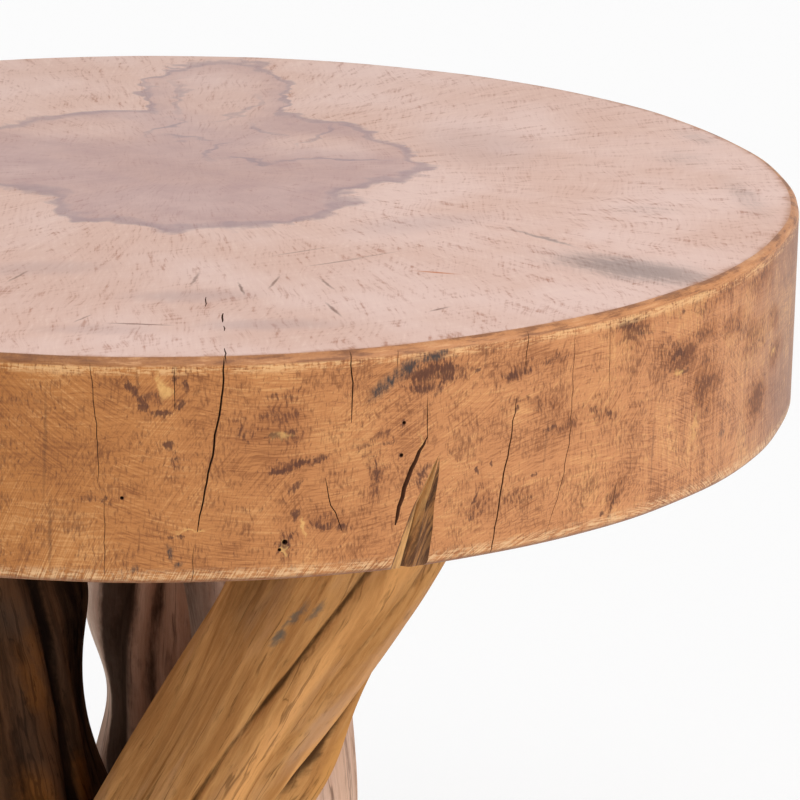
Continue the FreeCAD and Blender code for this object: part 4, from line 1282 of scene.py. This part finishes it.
dowel = Finish("plug_end_grain", roughness=0.6)
rings = dowel.noise(dowel.place(), 420.0, 4.0, 0.6)
dowel.set(base_color=dowel.mix(dowel.smooth(rings, 0.35, 0.65), srgb(96, 62, 36), srgb(156, 108, 66)),
          normal=dowel.bump(rings, 0.2 * MM))
plug.data.materials.append(dowel.material)


def place_plug(node, leg, joint, outward):
    """A copy of the plug, its axis along the bolt and its roundness along the trunk."""
    _, run = waist_line(leg)
    axes = Matrix((run, outward.cross(run), outward)).transposed().to_4x4()
    piece = bpy.data.objects.new(node.replace("plug", "cap"), plug.data.copy())
    bpy.context.scene.collection.objects.link(piece)
    piece.data.transform(Matrix.Translation(joint.centre) @ axes)
    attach(piece, "root")
    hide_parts(node)


for joint in JOINTS:
    pair = f"{joint.first}_{joint.second}"
    place_plug(f"head_plug_{pair}", joint.first, joint, joint.normal)
    place_plug(f"nut_plug_{pair}", joint.second, joint, -joint.normal)
bpy.data.objects.remove(plug)
print("plugs placed:", 2 * len(JOINTS))

# %% [markdown]
# ## Fastenings and glides
# The tenons, bolts, nuts, washers, nails and glides keep their CAD shapes. Zinc steel gets a faint blotchy
# tarnish, the tenons are plain dowel, and the glides are dark nylon with a moulded grain.

# %% Fastenings and glides
zinc = Finish("zinc_steel", metallic=1.0)
tarnish = zinc.noise(zinc.place(), 260.0, 4.0, 0.6)
bright = zinc.mix(tarnish, srgb(150, 152, 156), srgb(200, 202, 206))
zinc.set(base_color=bright, roughness=0.3 + 0.25 * tarnish)

nylon = Finish("glide_nylon", roughness=0.5)
grit = nylon.noise(nylon.place(), 1800.0, 2.0)
nylon.set(base_color=nylon.mix(grit, srgb(52, 38, 28), srgb(72, 54, 40)), normal=nylon.bump(grit, 0.1 * MM))

tenon = Finish("tenon_wood", roughness=0.6)
x, y, z = tenon.split(tenon.place())
lines = tenon.noise(tenon.join(x * 500.0, y * 500.0, z * 25.0), 1.0, 3.0)
tenon.set(base_color=tenon.mix(lines, srgb(170, 122, 76), srgb(206, 164, 112)))

FINISH_OF = {"waist_": zinc, "glide_nail_": zinc, "foot_glide_": nylon, "tenon_": tenon}
dressed = 0
for name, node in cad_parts.items():
    for start, finish in FINISH_OF.items():
        if name.startswith(start):
            for slot in node.material_slots:
                slot.material = finish.material
            dressed += 1
print("CAD nodes dressed:", dressed)

# %% [markdown]
# ## Floor and light
# A white sweep under soft light: the table stands on a pale floor that runs out of sight. A broad light
# comes low from the front right, as from a large soft box, and another from above; the world fills the
# rest.

# %% Floor and light
deselect()
bpy.ops.mesh.primitive_plane_add(size=60)
floor = bpy.context.object
floor.name = "floor"
paper = Finish("floor_paper", roughness=1.0, specular_ior_level=0.0)
paper.set(base_color=srgb(255, 255, 255))
floor.data.materials.append(paper.material)


def add_sun(name, azimuth, elevation, strength, softness):
    """A far soft light from a bearing (0 front, 90 right) and a height, in degrees."""
    turn = Matrix.Rotation(math.radians(azimuth), 3, "Z")
    turn = turn @ Matrix.Rotation(math.radians(90 - elevation), 3, "X")
    deselect()
    bpy.ops.object.light_add(type="SUN", rotation=turn.to_euler())
    sun = bpy.context.object
    sun.name = name
    sun.data.energy = strength
    sun.data.angle = math.radians(softness)


add_sun("soft_box", azimuth=50, elevation=24, strength=1.35, softness=50)
add_sun("overhead", azimuth=20, elevation=68, strength=1.56, softness=70)

# The room fills the shadows softly, and shows as plain white to the camera and in reflections.
FILL_LEVEL = 0.42
SEEN_LEVEL = 1.0
world = bpy.data.worlds.new("white_room")
bpy.context.scene.world = world
world.use_nodes = True
air = world.node_tree
air.nodes.clear()
fill = air.nodes.new("ShaderNodeBackground")
path = air.nodes.new("ShaderNodeLightPath")
seen = air.nodes.new("ShaderNodeMath")
seen.operation = "MAXIMUM"
air.links.new(path.outputs["Is Camera Ray"], seen.inputs[0])
air.links.new(path.outputs["Is Glossy Ray"], seen.inputs[1])
level = air.nodes.new("ShaderNodeMapRange")
level.inputs["To Min"].default_value = FILL_LEVEL
level.inputs["To Max"].default_value = SEEN_LEVEL
air.links.new(seen.outputs[0], level.inputs["Value"])
air.links.new(level.outputs[0], fill.inputs["Strength"])
sky = air.nodes.new("ShaderNodeOutputWorld")
air.links.new(fill.outputs[0], sky.inputs[0])

# %% [markdown]
# ## Camera
# The photograph was taken close up with a long lens, from a little above the top. The view is set by where
# the camera stands, its turn to the right, its tilt down, a slight roll and its lens.

# %% Camera
CAMERA_PLACE = (0, -1.4053, 0.8383)
CAMERA_TURN = 3.603
CAMERA_TILT = 16.61
CAMERA_ROLL = 0.816
CAMERA_LENS = 180
CAMERA_SENSOR = 36

aim = Matrix.Rotation(math.radians(-CAMERA_TURN), 3, "Z")
aim = aim @ Matrix.Rotation(math.radians(90 - CAMERA_TILT), 3, "X")
aim = aim @ Matrix.Rotation(math.radians(CAMERA_ROLL), 3, "Z")
bpy.ops.object.camera_add(location=CAMERA_PLACE, rotation=aim.to_euler())
camera = bpy.context.object
camera.data.lens = CAMERA_LENS
camera.data.sensor_width = CAMERA_SENSOR
bpy.context.scene.camera = camera
bpy.context.scene.view_settings.view_transform = "Standard"
print("camera at", CAMERA_PLACE)
